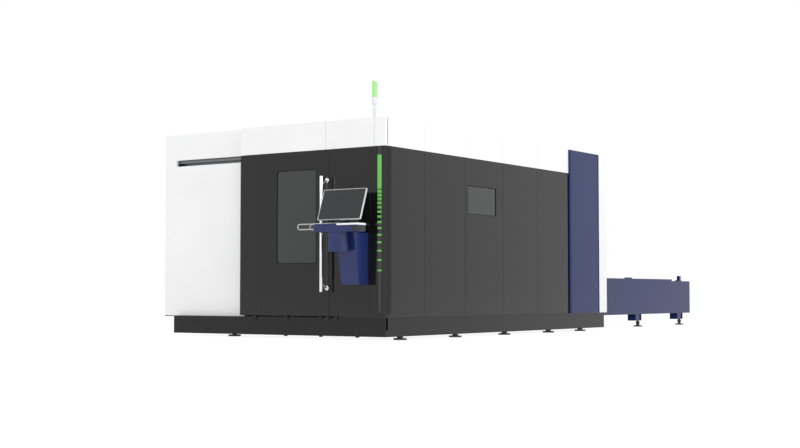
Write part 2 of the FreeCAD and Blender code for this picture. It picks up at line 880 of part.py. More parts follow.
def make_side_walls():
    """Wall and band panels in equal steps, with a window in the right wall."""
    height = ("wall_bottom", "band_bottom")
    high = ("band_bottom", "body_height")
    starts = {1: ("post_depth", "corner_thick + corner_gap"), -1: ("recess_back", "recess_back")}
    walls = {1: [], -1: []}
    bands = []
    for side in (-1, 1):
        x = span(side, "wall_inner", "side")
        for index in range(SIDE_PANELS):
            end = f"first_seam + {index} * panel_pitch"
            start = f"first_seam + {index - 1} * panel_pitch + seam"
            wall_start, band_start = starts[side] if index == 0 else (start, start)
            bands.append(box("band", x, (band_start, end), high))
            wall = box("wall", x, (wall_start, end), height)
            if side > 0 and index == WINDOW_PANEL:
                make_side_window(wall, x, start)
            else:
                walls[side].append(wall)
    part("right_wall_panels", group("right_walls", walls[1]))
    part("left_wall_panels", group("left_walls", walls[-1]))
    part("side_band_panels", group("side_bands", bands))


def make_side_window(wall, x, start):
    """The panel with the small window, and its pane in a rebate."""
    y = (f"{start} + side_window_start", f"{start} + side_window_start + side_window_length")
    z = ("side_window_bottom", "side_window_bottom + side_window_height")
    view = rounded("side_view", "x", x, y, z, "side_window_radius")
    inner = (x[0], "side - window_lip")
    rebate = box("side_rebate", inner, (f"{y[0]} - window_rebate", f"{y[1]} + window_rebate"),
                 (f"{z[0]} - window_rebate", f"{z[1]} + window_rebate"))
    part("right_window_wall", cut("window_wall", wall, [view, rebate]))
    pane = box("side_pane", ("side - window_lip - glass_thick", "side - window_lip"),
               (f"{y[0]} - window_rebate + fit_gap", f"{y[1]} + window_rebate - fit_gap"),
               (f"{z[0]} - window_rebate + fit_gap", f"{z[1]} + window_rebate - fit_gap"))
    part("right_window", pane)


def make_columns():
    """Blue covers that stand proud of both sides in front of the rear walls, the left one for the pipes."""
    start = "first_seam + 4 * panel_pitch"
    for side, label, proud in ((1, "right_column", "column_proud"), (-1, "left_column", "left_column_proud")):
        x = span(side, "wall_inner", f"side + {proud}")
        cover = box("cover", x, (f"{start} + seam", "rear_start"), ("wall_bottom", "body_height"))
        fold = span(side, f"side + {proud} - groove_deep", f"side + {proud}")
        lines = []
        for y in (f"{start} + seam + column_fold", "rear_start - column_fold - groove_width"):
            lines.append(box("fold_line", fold, (y, f"{y} + groove_width"), ("wall_bottom", "body_height")))
        part(label, cut("folded_cover", cover, lines))


def make_rear():
    """Rear corner casings with slots for the lifting gate, the lintel above it, and the gate."""
    gate_back = "body_length - gate_setback + gate_thick"
    casings = []
    for side in (-1, 1):
        outer = box("casing", span(side, "portal_half", "side"), ("rear_start", "body_length"),
                    ("wall_bottom", "body_height"))
        inner = box("casing_inside", span(side, "portal_half + panel_depth", "side - panel_depth"),
                    ("rear_start", "body_length - panel_depth"),
                    ("wall_bottom + panel_depth", "body_height - panel_depth"))
        slot = box("gate_slot", span(side, "portal_half", "portal_half + gate_engage + fit_gap"),
                   ("body_length - gate_setback - fit_gap", f"{gate_back} + fit_gap"),
                   ("gate_bottom - fit_gap", "roof_top - panel_depth"))
        tools = [inner, slot]
        if side < 0:
            tools.append(cylinder("duct_hole", "y", "-duct_middle", ("rear_start", "body_length"),
                                  "duct_level", "outlet_radius + seam"))
        casings.append(cut("hollow_casing", outer, tools))
    part("rear_walls", group("rear_pair", casings))
    part("rear_lintel", box("lintel", ("-portal_half", "portal_half"),
                            ("body_length - lintel_depth", "body_length"), ("lintel_bottom", "body_height")))
    half = "portal_half + gate_engage"
    part("rear_gate", box("gate", (f"-({half})", half), ("body_length - gate_setback", gate_back),
                          ("gate_bottom", "lintel_bottom + gate_overlap")))


def make_roof():
    """Three roof trays between the side bands and one above the gate."""
    z = ("roof_top - panel_depth", "roof_top")
    x = ("-wall_inner", "wall_inner")
    ends = ["band_depth", "first_seam + panel_pitch", "first_seam + 3 * panel_pitch", "rear_start"]
    trays = []
    for start, end in zip(ends, ends[1:]):
        y = (start if start == "band_depth" else f"{start} + seam", end)
        trays.append(box("roof_tray", x, y, z))
    lip = box("roof_lip", ("-wall_inner", "proud_edge"), ("recess_back", "band_depth"), z)
    trays[0] = fuse("front_tray", [trays[0], lip])
    trays.append(box("gate_tray", ("-portal_half", "portal_half"),
                     ("rear_start", "body_length - lintel_depth"), z))
    part("roof_panels", group("roof", trays))


def make_rear_units():
    """The laser source and the control cabinet in the rear corners, and the dust duct."""
    y = ("unit_start", "unit_start + unit_length")
    units = ((1, "laser_source", "source_height"), (-1, "control_cabinet", "cabinet_height"))
    for side, label, height in units:
        x = span(side, "unit_inner", "unit_inner + unit_width")
        case = box("unit_case", x, y, ("bed_top", f"bed_top + {height}"))
        face = span(side, "unit_inner", "unit_inner + vent_deep")
        run = ("unit_start + vent_inset", "unit_start + unit_length - vent_inset")
        vents = []
        for index in range(VENTS):
            z = f"bed_top + vent_start + {index} * vent_pitch"
            vents.append(box("vent", face, run, (z, f"{z} + vent_height")))
        part(label, cut("vented_unit", case, vents))
    duct = tube("duct", "y", ("-(duct_inner + duct_width)", "-duct_inner"), ("duct_start", "rear_start"),
                ("wall_bottom", "wall_bottom + duct_height"), "duct_wall")
    plate = box("duct_plate", ("-(duct_inner + duct_width)", "-duct_inner"),
                ("rear_start - duct_wall", "rear_start"), ("wall_bottom", "wall_bottom + duct_height"))
    end = "body_length + outlet_proud"
    pipe = cylinder("pipe", "y", "-duct_middle", ("rear_start - duct_wall", end), "duct_level",
                    "outlet_radius - duct_wall")
    collar = cylinder("collar", "y", "-duct_middle", ("body_length + seam", end), "duct_level",
                      "outlet_radius")
    bore = cylinder("pipe_bore", "y", "-duct_middle", ("rear_start - duct_wall", end), "duct_level",
                    "outlet_radius - 2 * duct_wall")
    part("extraction_duct", cut("bored_duct", fuse("solid_duct", [duct, plate, pipe, collar]), [bore]))


# Gantry, carriage and head.

def make_gantry():
    """A box beam on two end trucks, with rails and a rack for the carriage on its rear face."""
    x = ("-gantry_length / 2", "gantry_length / 2")
    part("gantry_beam", tube("cross_beam", "x", x,
                             ("gantry_home - gantry_depth / 2", "gantry_back"),
                             ("gantry_bottom", "gantry_top"), "gantry_wall"))
    trucks = []
    for side in (-1, 1):
        truck = box("truck", span(side, "end_inner", "end_inner + end_width"),
                    ("gantry_home - end_length / 2", "gantry_home + end_length / 2"),
                    ("end_bottom", "gantry_bottom"))
        motor = cylinder("truck_motor", "z", f"{side} * guide_offset",
                         "gantry_home - end_length / 2 + motor_radius + motor_gap",
                         ("gantry_bottom", "gantry_bottom + motor_length"), "motor_radius")
        trucks.append(fuse("powered_truck", [truck, motor]))
    part("gantry_trucks", group("trucks", trucks))
    run = ("-(gantry_length / 2 - cross_rail_edge)", "gantry_length / 2 - cross_rail_edge")
    y = ("gantry_back", "gantry_back + cross_rail")
    rail_low = "gantry_bottom + cross_rail_edge"
    rail_high = "gantry_top - cross_rail_edge"
    low = box("low_rail", run, y, (rail_low, f"{rail_low} + cross_rail"))
    high = box("high_rail", run, y, (f"{rail_high} - cross_rail", rail_high))
    middle = "(gantry_bottom + gantry_top) / 2"
    rack = box("cross_rack", run, ("gantry_back", "gantry_back + cross_rack"),
               (f"{middle} - cross_rail / 2", f"{middle} + cross_rail / 2"))
    part("cross_guides", group("cross_set", [low, high, rack]))


def make_head():
    """The carriage with its two motors, the lifting slide, the cutting head and the nozzle."""
    plate = box("carriage_plate", ("-carriage_half", "carriage_half"), ("carriage_front", "carriage_back"),
                ("gantry_bottom + carriage_edge", "carriage_top"))
    rails = []
    for side in (-1, 1):
        rails.append(box("lift_rail", span(side, "slide_half / 2", "slide_half / 2 + slide_rail"),
                         ("carriage_back", "carriage_back + slide_rail"),
                         ("gantry_bottom + carriage_edge", "carriage_top")))
    shelf_top = "carriage_top + carriage_thick / 2"
    shelf = box("motor_shelf", ("-motor_radius", "motor_radius"),
                ("carriage_front", "head_middle + motor_radius"), ("carriage_top", shelf_top))
    lift_motor = cylinder("lift_motor", "z", "0", "head_middle", (shelf_top, "carriage_top + motor_length"),
                          "motor_radius")
    travel_motor = cylinder("travel_motor", "y", "carriage_half - motor_radius - motor_gap",
                            ("carriage_back", "carriage_back + motor_length"),
                            "carriage_top - motor_radius - motor_gap", "motor_radius")
    part("cross_carriage", fuse("carriage", [plate, shelf, lift_motor, travel_motor] + rails))
    part("lift_slide", box("slide", ("-slide_half", "slide_half"), ("slide_front", "slide_back"),
                           ("slide_bottom", "slide_bottom + slide_height")))
    block = rounded("head_block", "z", ("-head_half", "head_half"), ("slide_back", "slide_back + head_deep"),
                    ("head_bottom", "head_bottom + head_height"), "head_radius")
    barrel = cylinder("barrel", "z", "0", "head_middle", ("barrel_bottom", "head_bottom"), "barrel_radius")
    part("cutting_head", fuse("head", [block, barrel]))
    tip = turned("tip", "0", "head_middle", "barrel_bottom - nozzle_length", [
        ("0", "0"),
        ("nozzle_tip", "0"),
        ("nozzle_radius - nozzle_tip", "nozzle_taper"),
        ("nozzle_radius", "nozzle_taper"),
        ("nozzle_radius", "nozzle_length"),
        ("0", "nozzle_length"),
    ])
    part("nozzle", tip)


# Pallets, tracks and drive.

def make_pallet(label, start, level, lug):
    """A frame on wheels that carries rows of toothed slats, with two lugs for the chains."""
    x = ("-pallet_half", "pallet_half")
    y = (start, f"{start} + pallet_length")
    z = (level, f"{level} + frame_height")
    inner = box("pallet_inside", ("frame_width - pallet_half", "pallet_half - frame_width"),
                (f"{y[0]} + frame_width", f"{y[1]} - frame_width"), z)
    frame = cut("pallet_frame", box("pallet_block", x, y, z), [inner])

    owner = body(label + "_slats", 0, f"{start} + slat_start",
                 f"{level} + frame_height + slat_rise - slat_height")
    edge = "(pallet_half - frame_width)"
    points = [(f"-{edge}", "0"), (edge, "0")]
    for index in range(TEETH):
        points.append((f"{edge} * {1 - 2 * index / TEETH:g}", "slat_height - slat_tooth"))
        points.append((f"{edge} * {1 - (2 * index + 1) / TEETH:g}", "slat_height"))
    points.append((f"-{edge}", "slat_height - slat_tooth"))
    slat = pad(owner, outline(owner, "XZ_Plane", points), "slat_thick")
    pattern = owner.newObject("PartDesign::LinearPattern", label + "_rows")
    pattern.Originals = [slat]
    pattern.Direction = (plane(owner, "Y_Axis"), [""])
    bind(pattern, "Length", "pallet_length - 2 * slat_start")
    pattern.Occurrences = SLATS
    owner.Tip = pattern

    pieces = [frame, owner]
    for side in (-1, 1):
        rim = span(side, "pallet_half", "pallet_half + wheel_width")
        for index in range(WHEELS):
            y = f"{start} + wheel_inset + {index} * (pallet_length - 2 * wheel_inset) / {WHEELS - 1}"
            pieces.append(cylinder("wheel", "x", rim, y, f"{level} - track_drop + fit_gap + wheel_radius",
                                   "wheel_radius"))
        pieces.append(box("lug", span(side, "chain_line - sprocket_half", "chain_line + sprocket_half"),
                          (f"{start} + lug_inset", f"{start} + frame_width - lug_inset"), lug))
    part(label, fuse(label + "_whole", pieces))


def make_tracks():
    """Ledges at two levels, on the bed beams inside and on the side panels of the table."""
    ledges = []
    for side in (-1, 1):
        for level in ("upper_level", "lower_level"):
            z = (f"{level} - track_drop - track_thick", f"{level} - track_drop")
            ledges.append(box("bed_ledge", span(side, "track_inner", "bed_inner"),
                              ("track_start", "body_length"), z))
            ledges.append(box("table_ledge", span(side, "track_inner", "web_inner"),
                              ("table_start", "track_end"), z))
    part("pallet_tracks", group("ledges", ledges))


def make_shaft(label, y, half, bearing_outer):
    """A cross shaft with a sprocket over each chain, and its two bearing blocks."""
    bar = cylinder("shaft", "x", (f"-{half}", half), y, "chain_level", "shaft_radius")
    wheels = []
    for side in (-1, 1):
        x = span(side, "chain_line - sprocket_half", "chain_line + sprocket_half")
        wheels.append(cylinder("sprocket", "x", x, y, "chain_level", "sprocket_radius"))
    part(label, fuse(label + "_whole", [bar] + wheels))
    blocks = []
    for side in (-1, 1):
        x = span(side, f"{bearing_outer} - bearing_depth", bearing_outer)
        block = box("bearing_block", x, (f"{y} - bearing_half", f"{y} + bearing_half"),
                    ("chain_level - bearing_half", "chain_level + bearing_half"))
        bore = cylinder("bearing_bore", "x", x, y, "chain_level", "shaft_radius + bearing_gap")
        blocks.append(cut("bearing", block, [bore]))
    return blocks


def make_chains():
    """Two closed chain loops between the idler and the drive shaft."""
    loops = []
    for side in (-1, 1):
        x = span(side, "chain_line - chain_half", "chain_line + chain_half")
        outer = chain_outline("chain_outer_run", x, "chain_outer")
        inner = chain_outline("chain_inner_run", x, "chain_inner")
        loops.append(cut("chain_loop", outer, [inner]))
    part("transfer_chains", group("chains", loops))


def chain_outline(name, x, radius):
    """A straight bar with round ends, as wide as the loop at this radius."""
    z = (f"chain_level - {radius}", f"chain_level + {radius}")
    bar = box(name + "_bar", x, ("idler_place", "drive_place"), z)
    ends = [cylinder(name + "_end", "x", x, y, "chain_level", radius) for y in ("idler_place", "drive_place")]
    return fuse(name, [bar] + ends)


def make_drive():
    """The gear motor on the right end of the drive shaft."""
    high = "web_inner - bearing_depth"
    x = (f"{high} - gearbox_width", high)
    start = "track_end + seam"
    y = (start, f"{start} + gearbox_length")
    gearbox = box("gearbox", x, y, ("chain_level - gearbox_half", "chain_level + gearbox_half"))
    motor = cylinder("drive_motor", "z", f"{high} - gearbox_width / 2", f"{start} + gearbox_length / 2",
                     ("chain_level - gearbox_half - motor_length", "chain_level - gearbox_half"),
                     "motor_radius")
    bore = cylinder("gearbox_bore", "x", x, "drive_place", "chain_level", "shaft_radius + bearing_gap")
    part("transfer_motor", cut("geared_motor", fuse("motor_block", [gearbox, motor]), [bore]))


def make_table(bearings):
    """Channel-section side panels with foot blocks, a latch and a stop post, and the ties between them."""
    sides = []
    for side, bearing in zip((-1, 1), bearings):
        owner = body("table_channel", 0, "table_end", "table_bottom")
        lip = "table_half - flange"
        points = [
            ("table_half", "0"),
            ("table_half", "table_height"),
            (lip, "table_height"),
            (lip, "table_height - web_thick"),
            ("web_inner", "table_height - web_thick"),
            ("web_inner", "web_thick"),
            (lip, "web_thick"),
            (lip, "0"),
        ]
        points = [(f"{side} * ({across})", up) for across, up in points]
        pad(owner, outline(owner, "XZ_Plane", points), "table_end - table_start")
        step = box("step", span(side, lip, "table_half"), ("table_end - table_step", "table_end"),
                   ("table_top - step_drop", "table_top"))
        stepped = cut("stepped_channel", owner, [step])
        pieces = [stepped, bearing]
        for y in ("table_foot_first", "table_foot_last"):
            y = (f"{y} - block_length / 2", f"{y} + block_length / 2")
            z = ("table_bottom - block_height", "table_bottom")
            block = box("foot_block", span(side, "table_half - block_width", "table_half"), y, z)
            recess = box("block_recess", span(side, "table_half - block_recess", "table_half"),
                         (f"{y[0]} + 4 * block_rim", f"{y[1]} - block_rim"), (f"{z[0]} + block_rim", z[1]))
            pieces.append(cut("recessed_block", block, [recess]))
        pieces.append(box("latch", span(side, "table_half - latch_width", "table_half"),
                          ("latch_start", "latch_start + latch_length"),
                          ("table_top", "table_top + latch_height")))
        seat = "table_top - step_drop"
        pieces.append(box("stop_plate", span(side, lip, "table_half"),
                          ("stop_start - (stop_base - stop_length) / 2",
                           "stop_start + stop_base - (stop_base - stop_length) / 2"),
                          (seat, f"{seat} + stop_base_thick")))
        pieces.append(box("stop_post", span(side, "table_half - stop_width", "table_half"),
                          ("stop_start", "stop_start + stop_length"), (seat, f"{seat} + stop_rise")))
        sides.append(fuse("table_side", pieces))
    part("table_sides", group("table_pair", sides))
    ties = []
    for y in ("first_tie", "table_foot_first", "table_foot_last"):
        ties.append(box("tie", ("-web_inner", "web_inner"),
                        (f"{y} - tie_height / 2", f"{y} + tie_height / 2"),
                        ("table_bottom + web_thick", "table_bottom + web_thick + tie_height")))
    part("table_ties", group("tie_set", ties))


# Console and signal tower.

def make_console():
    """A tapered bracket with two push buttons, a control box, the desk with its grab loops, and the keys."""
    owner = body("bracket", "bracket_left + bracket_width / 2", 0, 0)
    pad(owner, outline(owner, "YZ_Plane", [
        ("0", "bracket_bottom"),
        ("-bracket_low_deep", "bracket_bottom"),
        ("-bracket_top_deep", "desk_bottom"),
        ("0", "desk_bottom"),
    ]), "bracket_width", both_ways=True)
    bores = []
    for z in ("stop_height", "start_height"):
        bores.append(cylinder("button_bore", "x", ("bracket_left", "bracket_left + 2 * button_deep"),
                              "-button_place", z, "button_radius + fit_gap"))
    part("console_bracket", cut("bored_bracket", owner, bores))
    stem = cylinder("stop_stem", "x", ("bracket_left - stop_gap", "bracket_left + button_deep"),
                    "-button_place", "stop_height", "button_radius")
    cap = cylinder("stop_cap", "x", ("bracket_left - stop_gap - stop_thick", "bracket_left - stop_gap"),
                   "-button_place", "stop_height", "stop_radius")
    part("emergency_stop", fuse("stop", [stem, cap]))
    button = cylinder("button", "x", ("bracket_left - button_proud", "bracket_left + button_deep"),
                      "-button_place", "start_height", "button_radius")
    part("start_button", button)

    part("console_box", rounded("control_case", "z", ("box_left", "box_left + box_width"),
                                ("-(bracket_top_deep + box_gap + box_deep)", "-(bracket_top_deep + box_gap)"),
                                ("desk_bottom - box_height", "desk_bottom"), "box_radius"))

    right = "desk_left + desk_width"
    tray = rounded("desk_tray", "z", ("desk_left", right), ("-desk_front", "-(desk_front - desk_deep)"),
                   ("desk_bottom", "desk_top"), "desk_radius")
    key_y = ("-keyboard_front", "-(keyboard_front - keyboard_deep)")
    key_low = "desk_top - keyboard_sink"
    seat = box("keyboard_seat", ("keyboard_left", right), key_y, (key_low, "desk_top"))
    part("desk", cut("seated_desk", tray, [seat]))
    part("keyboard", rounded("keys", "z", ("keyboard_left", "keyboard_left + keyboard_width"), key_y,
                             (key_low, "desk_top + keyboard_rise"), "keyboard_radius"))
    front_loop = make_loop("-desk_front + desk_radius + loop_front", "loop_left")
    back_loop = make_loop("-desk_front + desk_radius + loop_back", "loop_left - loop_short")
    part("desk_handles", group("handles", [front_loop, back_loop]))


def make_loop(y, reach):
    """A grab loop of bent tube: along the desk's top, round the bend and back into its left end."""
    bend_x = f"desk_left - ({reach})"
    top = cylinder("loop_top", "x", (bend_x, "keyboard_left - loop_gap"), y, "grab_middle + loop_major",
                   "loop_minor")
    low = cylinder("loop_low", "x", (bend_x, "desk_left"), y, "grab_middle - loop_major", "loop_minor")
    bend = doc.addObject("Part::Torus", "loop_bend")
    bend.Angle3 = 180
    bend.Placement.Rotation = (FreeCAD.Rotation(FreeCAD.Vector(0, 1, 0), -90)
                               .multiply(FreeCAD.Rotation(FreeCAD.Vector(1, 0, 0), 90)))
    bind(bend, "Radius1", "loop_major")
    bind(bend, "Radius2", "loop_minor")
    return fuse("loop", [top, low, move(bend, bend_x, y, "grab_middle")])


def hang_monitor(label, item):
    """Set a piece that was built about the tilting pivot at that pivot, leaning back."""
    item.Placement.Rotation = FreeCAD.Rotation(FreeCAD.Vector(-1, 0, 0), 1)
    bind(item, "Placement.Rotation.Angle", "screen_tilt")
    part(label, move(item, "screen_middle", "-pivot_reach", "pivot_height"))


def local_box(name, x, y, z):
    """A block in a piece's own frame, with no offset to the front face."""
    item = box(name, x, y, z)
    bind(item, "Placement.Base.y", y[0])
    return item


def make_monitor():
    """The housing with a lug on its pivot pin, and the screen set into its face."""
    back = "-pivot_back"
    face = "-(pivot_back + screen_thick)"
    half = "screen_width / 2"
    tall = "screen_height / 2"
    slab = local_box("housing_slab", (f"-{half}", half), (face, f"{face} + screen_rim"), (f"-{tall}", tall))
    hump = local_box("housing_back", (f"screen_back - {half}", f"{half} - screen_back"),
                     (f"{face} + screen_rim", back), (f"screen_back - {tall}", f"{tall} - screen_back"))
    recess = local_box("housing_recess", (f"screen_border - {half}", f"{half} - screen_border"),
                       (face, f"{face} + screen_glass"),
                       (f"screen_border - {tall}", f"{tall} - screen_border"))
    lug = local_box("lug", ("-lug_half", "lug_half"), (back, "lug_radius"), ("-lug_radius", "lug_radius"))
    bore = cylinder("lug_bore", "x", ("-lug_half", "lug_half"), "0", "0", "yoke_pin + bearing_gap")
    bind(bore, "Placement.Base.y", "0")
    hang_monitor("monitor_housing", cut("housing", fuse("housing_blank", [slab, hump, lug]), [recess, bore]))
    glass = local_box("glass", (f"screen_border + fit_gap - {half}", f"{half} - screen_border - fit_gap"),
                      (face, f"{face} + screen_glass"),
                      (f"screen_border + fit_gap - {tall}", f"{tall} - screen_border - fit_gap"))
    hang_monitor("monitor_screen", group("screen", [glass]))


def make_stand():
    """A mast on the bracket behind the desk, with an arm that reaches forward to a yoke and its pin."""
    outer = "lug_half + cheek_gap + cheek_width"
    pivot = "-pivot_reach"
    mast_front = "desk_deep - desk_front + mast_gap"
    level = ("pivot_height - cheek_radius", "pivot_height + cheek_radius")
    wide = (f"screen_middle - ({outer})", f"screen_middle + {outer}")
    pieces = [
        cylinder("yoke_pin", "x", wide, pivot, "pivot_height", "yoke_pin"),
        box("arm", wide, (f"{pivot} + pivot_back", f"{mast_front} + mast_deep"), level),
        box("mast", wide, (mast_front, f"{mast_front} + mast_deep"), ("desk_bottom", level[1])),
        box("mast_foot", ("screen_middle - mast_foot", "screen_middle + mast_foot"),
            (mast_front, f"{mast_front} + mast_foot_deep"), ("desk_bottom", "desk_bottom + mast_foot_thick")),
    ]
    cheeks = {-1: (f"screen_middle - ({outer})", "screen_middle - lug_half - cheek_gap"),
              1: ("screen_middle + lug_half + cheek_gap", f"screen_middle + {outer}")}
    for x in cheeks.values():
        pieces.append(cylinder("cheek", "x", x, pivot, "pivot_height", "cheek_radius"))
        pieces.append(box("cheek_neck", x, (pivot, f"{pivot} + pivot_back"), level))
    part("monitor_stand", fuse("stand", pieces))


def make_tower():
    """A flanged pole with a small lower lamp, the tall lamp and its cap."""
    foot = "tower_foot"
    top = "tower_pole_top - body_height"
    pole = turned("pole", "tower_x", "tower_y", "body_height", [
        ("0", "0"),
        ("tower_base", "0"),
        ("tower_base", foot),
        ("tower_pole", f"2 * {foot}"),
        ("tower_pole", top),
        ("tower_radius", top),
        ("tower_radius", f"{top} + tower_ring"),
        ("0", f"{top} + tower_ring"),
    ])
    part("tower_pole", pole)
    lamp_bottom = "tower_pole_top + tower_ring"
    lamp_top = f"{lamp_bottom} + tower_lamp"
    part("tower_lamp", cylinder("lamp", "z", "tower_x", "tower_y", (lamp_bottom, lamp_top), "tower_radius"))
    part("tower_cap", turned("cap", "tower_x", "tower_y", lamp_top, [
        ("0", "0"),
        ("tower_radius", "0"),
        ("tower_radius", "tower_cap / 2"),
        ("tower_radius - tower_cap / 2", "tower_cap"),
        ("0", "tower_cap"),
    ]))


def check_and_write():
    """Stop on any failed feature, then write one file for each named piece."""
    doc.recompute()
    for item in doc.Objects:
        if "Invalid" in item.State or "Error" in item.State:
            raise RuntimeError(f"{item.Name} failed: {item.State}")
    os.makedirs("parts", exist_ok=True)
    for label, item in PARTS.items():
        if item.Shape.isNull() or not item.Shape.isValid():
            raise RuntimeError(f"{label} has no valid shape")
        item.Shape.exportStep(f"parts/{label}.step")
    print(len(PARTS), "pieces written")


idler_bearings = make_shaft("idler_shaft", "idler_place", "shaft_half", "bed_inner")
drive_bearings = make_shaft("drive_shaft", "drive_place", "drive_half", "web_inner")
make_feet()
make_plinth()
make_bed(idler_bearings)
make_corner_post()
make_corner_light()
make_front()
make_door()
make_side_walls()
make_columns()
make_rear()
make_roof()
make_rear_units()
make_gantry()
make_head()
make_pallet("upper_pallet", "pallet_start", "upper_level",
            ("chain_level + chain_outer + fit_gap", "upper_level"))
make_pallet("lower_pallet", "pallet_start + pallet_travel", "lower_level",
            ("lower_level + frame_height", "chain_level - chain_outer - fit_gap"))
make_tracks()
make_chains()
make_drive()
make_table(drive_bearings)
make_console()
make_monitor()
make_stand()
make_tower()
check_and_write()
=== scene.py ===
# %% [markdown]
# # A fiber laser cutting machine
#
# The machine stands in front of us as one long cabinet of coated sheet steel, with an open table behind it
# on which the pallets change places. The measured model already has every panel at its true size, so this
# lesson spends its time on what a measured model lacks: coats of paint, soft folds, keys, links and lamps.
# We load that model first, because everything after it is placed by asking the model where things are.

# %% Load the measured machine
import math

import bmesh
import bpy
from mathutils import Matrix, Vector


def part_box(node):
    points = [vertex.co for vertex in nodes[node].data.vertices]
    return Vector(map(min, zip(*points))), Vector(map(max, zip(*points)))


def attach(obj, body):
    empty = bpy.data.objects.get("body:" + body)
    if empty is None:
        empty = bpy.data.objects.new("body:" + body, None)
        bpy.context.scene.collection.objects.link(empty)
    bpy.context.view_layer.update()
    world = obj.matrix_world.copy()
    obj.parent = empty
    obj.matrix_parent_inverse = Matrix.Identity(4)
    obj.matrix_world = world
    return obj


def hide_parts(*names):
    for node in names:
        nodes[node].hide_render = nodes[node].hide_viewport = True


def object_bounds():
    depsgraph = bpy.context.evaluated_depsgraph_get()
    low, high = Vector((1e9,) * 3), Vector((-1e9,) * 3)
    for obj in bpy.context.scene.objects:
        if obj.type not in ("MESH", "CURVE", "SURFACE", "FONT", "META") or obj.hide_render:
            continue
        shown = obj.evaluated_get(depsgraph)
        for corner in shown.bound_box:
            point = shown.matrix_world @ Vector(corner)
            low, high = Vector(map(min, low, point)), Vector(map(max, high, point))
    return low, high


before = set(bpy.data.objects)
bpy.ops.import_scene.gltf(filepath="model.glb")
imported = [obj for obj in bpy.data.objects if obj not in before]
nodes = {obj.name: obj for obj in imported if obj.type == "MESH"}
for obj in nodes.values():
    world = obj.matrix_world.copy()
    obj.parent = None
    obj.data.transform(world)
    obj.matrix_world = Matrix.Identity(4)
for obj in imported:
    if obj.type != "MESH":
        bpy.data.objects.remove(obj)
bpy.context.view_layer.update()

# %% [markdown]
# ## Where things are
#
# Two points are used again and again: the lit front corner of the enclosure, at floor level, and the middle
# of the whole machine. Both are read from the boxes of measured pieces. If the machine is rebuilt wider or
# longer, the camera, the lamps and every new piece move with it.

# %% Landmarks
MM = 0.001

low_corner, high_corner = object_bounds()
middle = (low_corner + high_corner) / 2
side_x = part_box("right_wall_panels")[1].x
front_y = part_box("corner_band")[0].y
corner = Vector((side_x, front_y, 0.0))
print("corner", tuple(round(value, 3) for value in corner))

# %% [markdown]
# ## The camera
#
# The picture was taken from low down and from the right, with a rather long lens, so that upright edges stay
# upright and the long side runs away from us. A camera is described best by what a photographer would note:
# how far it stood from the corner, how high, where it pointed and how long its lens was.

# %% Camera
CAMERA_FROM_CORNER = Vector((8.105, -11.629, 0.490))
CAMERA_TURN = math.radians(34.271)
CAMERA_RISE = math.radians(2.831)
LENS_MM = 62.47
SENSOR_MM = 36.0

lens = bpy.data.cameras.new("camera")
lens.sensor_width = SENSOR_MM
lens.lens = LENS_MM
lens.clip_end = 400.0
camera = bpy.data.objects.new("camera", lens)
camera.location = corner + CAMERA_FROM_CORNER
camera.rotation_euler = (math.radians(90.0) + CAMERA_RISE, 0.0, CAMERA_TURN)
bpy.context.scene.collection.objects.link(camera)
bpy.context.scene.camera = camera
bpy.context.scene.view_settings.view_transform = "Standard"
print("camera at", tuple(round(value, 2) for value in camera.location))

# %% [markdown]
# ## Small helpers for materials
#
# A node tree is easier to read when each node is one line. The first helper adds a node, fills its sockets
# and joins any socket that is handed to it. The second starts a group: a named effect with its own inputs and
# outputs, which several materials then share with different values.

# %% Node helpers
def add(tree, kind, settings=None, **sockets):
    """One node. A value fills the socket of that name; another node's output is joined to it."""
    item = tree.nodes.new("ShaderNode" + kind)
    for name, value in (settings or {}).items():
        setattr(item, name, value)
    for name, value in sockets.items():
        socket = item.inputs[name.replace("_", " ")]
        if isinstance(value, bpy.types.NodeSocket):
            tree.links.new(value, socket)
        else:
            socket.default_value = value
    return item


def new_effect(name, inputs, outputs):
    """An empty node group with plain number inputs, and the nodes at its two ends."""
    tree = bpy.data.node_groups.new(name, "ShaderNodeTree")
    for label, default in inputs.items():
        socket = tree.interface.new_socket(label, in_out="INPUT", socket_type="NodeSocketFloat")
        socket.default_value = default
    for label, kind in outputs.items():
        tree.interface.new_socket(label, in_out="OUTPUT", socket_type="NodeSocket" + kind)
    return tree, tree.nodes.new("NodeGroupInput"), tree.nodes.new("NodeGroupOutput")


def use(tree, effect, **values):
    """One shared effect in a material, with values of its own."""
    item = tree.nodes.new("ShaderNodeGroup")
    item.node_tree = effect
    for name, value in values.items():
        item.inputs[name.replace("_", " ")].default_value = value
    return item


def stretched(tree, scale):
    """The piece's own coordinates, stretched."""
    place = add(tree, "TexCoord")
    return add(tree, "Mapping", Vector=place.outputs["Object"], Scale=scale).outputs["Vector"]


def between(tree, value, low, high):
    """A value from 0 to 1, brought between two others."""
    return add(tree, "MapRange", Value=value, To_Min=low, To_Max=high).outputs["Result"]


def mixed(tree, factor, first, second):
    """Two colours, mixed by a mask."""
    item = tree.nodes.new("ShaderNodeMix")
    item.data_type = "RGBA"
    tree.links.new(factor, item.inputs["Factor"])
    for socket, colour in ((item.inputs[6], first), (item.inputs[7], second)):
        if isinstance(colour, bpy.types.NodeSocket):
            tree.links.new(colour, socket)
        else:
            socket.default_value = (*colour, 1.0)
    return item.outputs[2]


def math_node(tree, operation, first, second=0.5):
    """One sum on two values."""
    item = tree.nodes.new("ShaderNodeMath")
    item.operation = operation
    item.use_clamp = True
    for socket, value in zip(item.inputs, (first, second)):
        if isinstance(value, bpy.types.NodeSocket):
            tree.links.new(value, socket)
        else:
            socket.default_value = value
    return item.outputs[0]


# %% [markdown]
# ## Shared effects
#
# Every sheet of this machine is powder coated. The powder melts into a skin that is glossy but never flat:
# from close up it has the fine dimples of an orange. Seen along the sheet, its gloss also changes a little
# from place to place. A bump of fine noise gives the dimples, and a wide, slow noise changes the gloss.

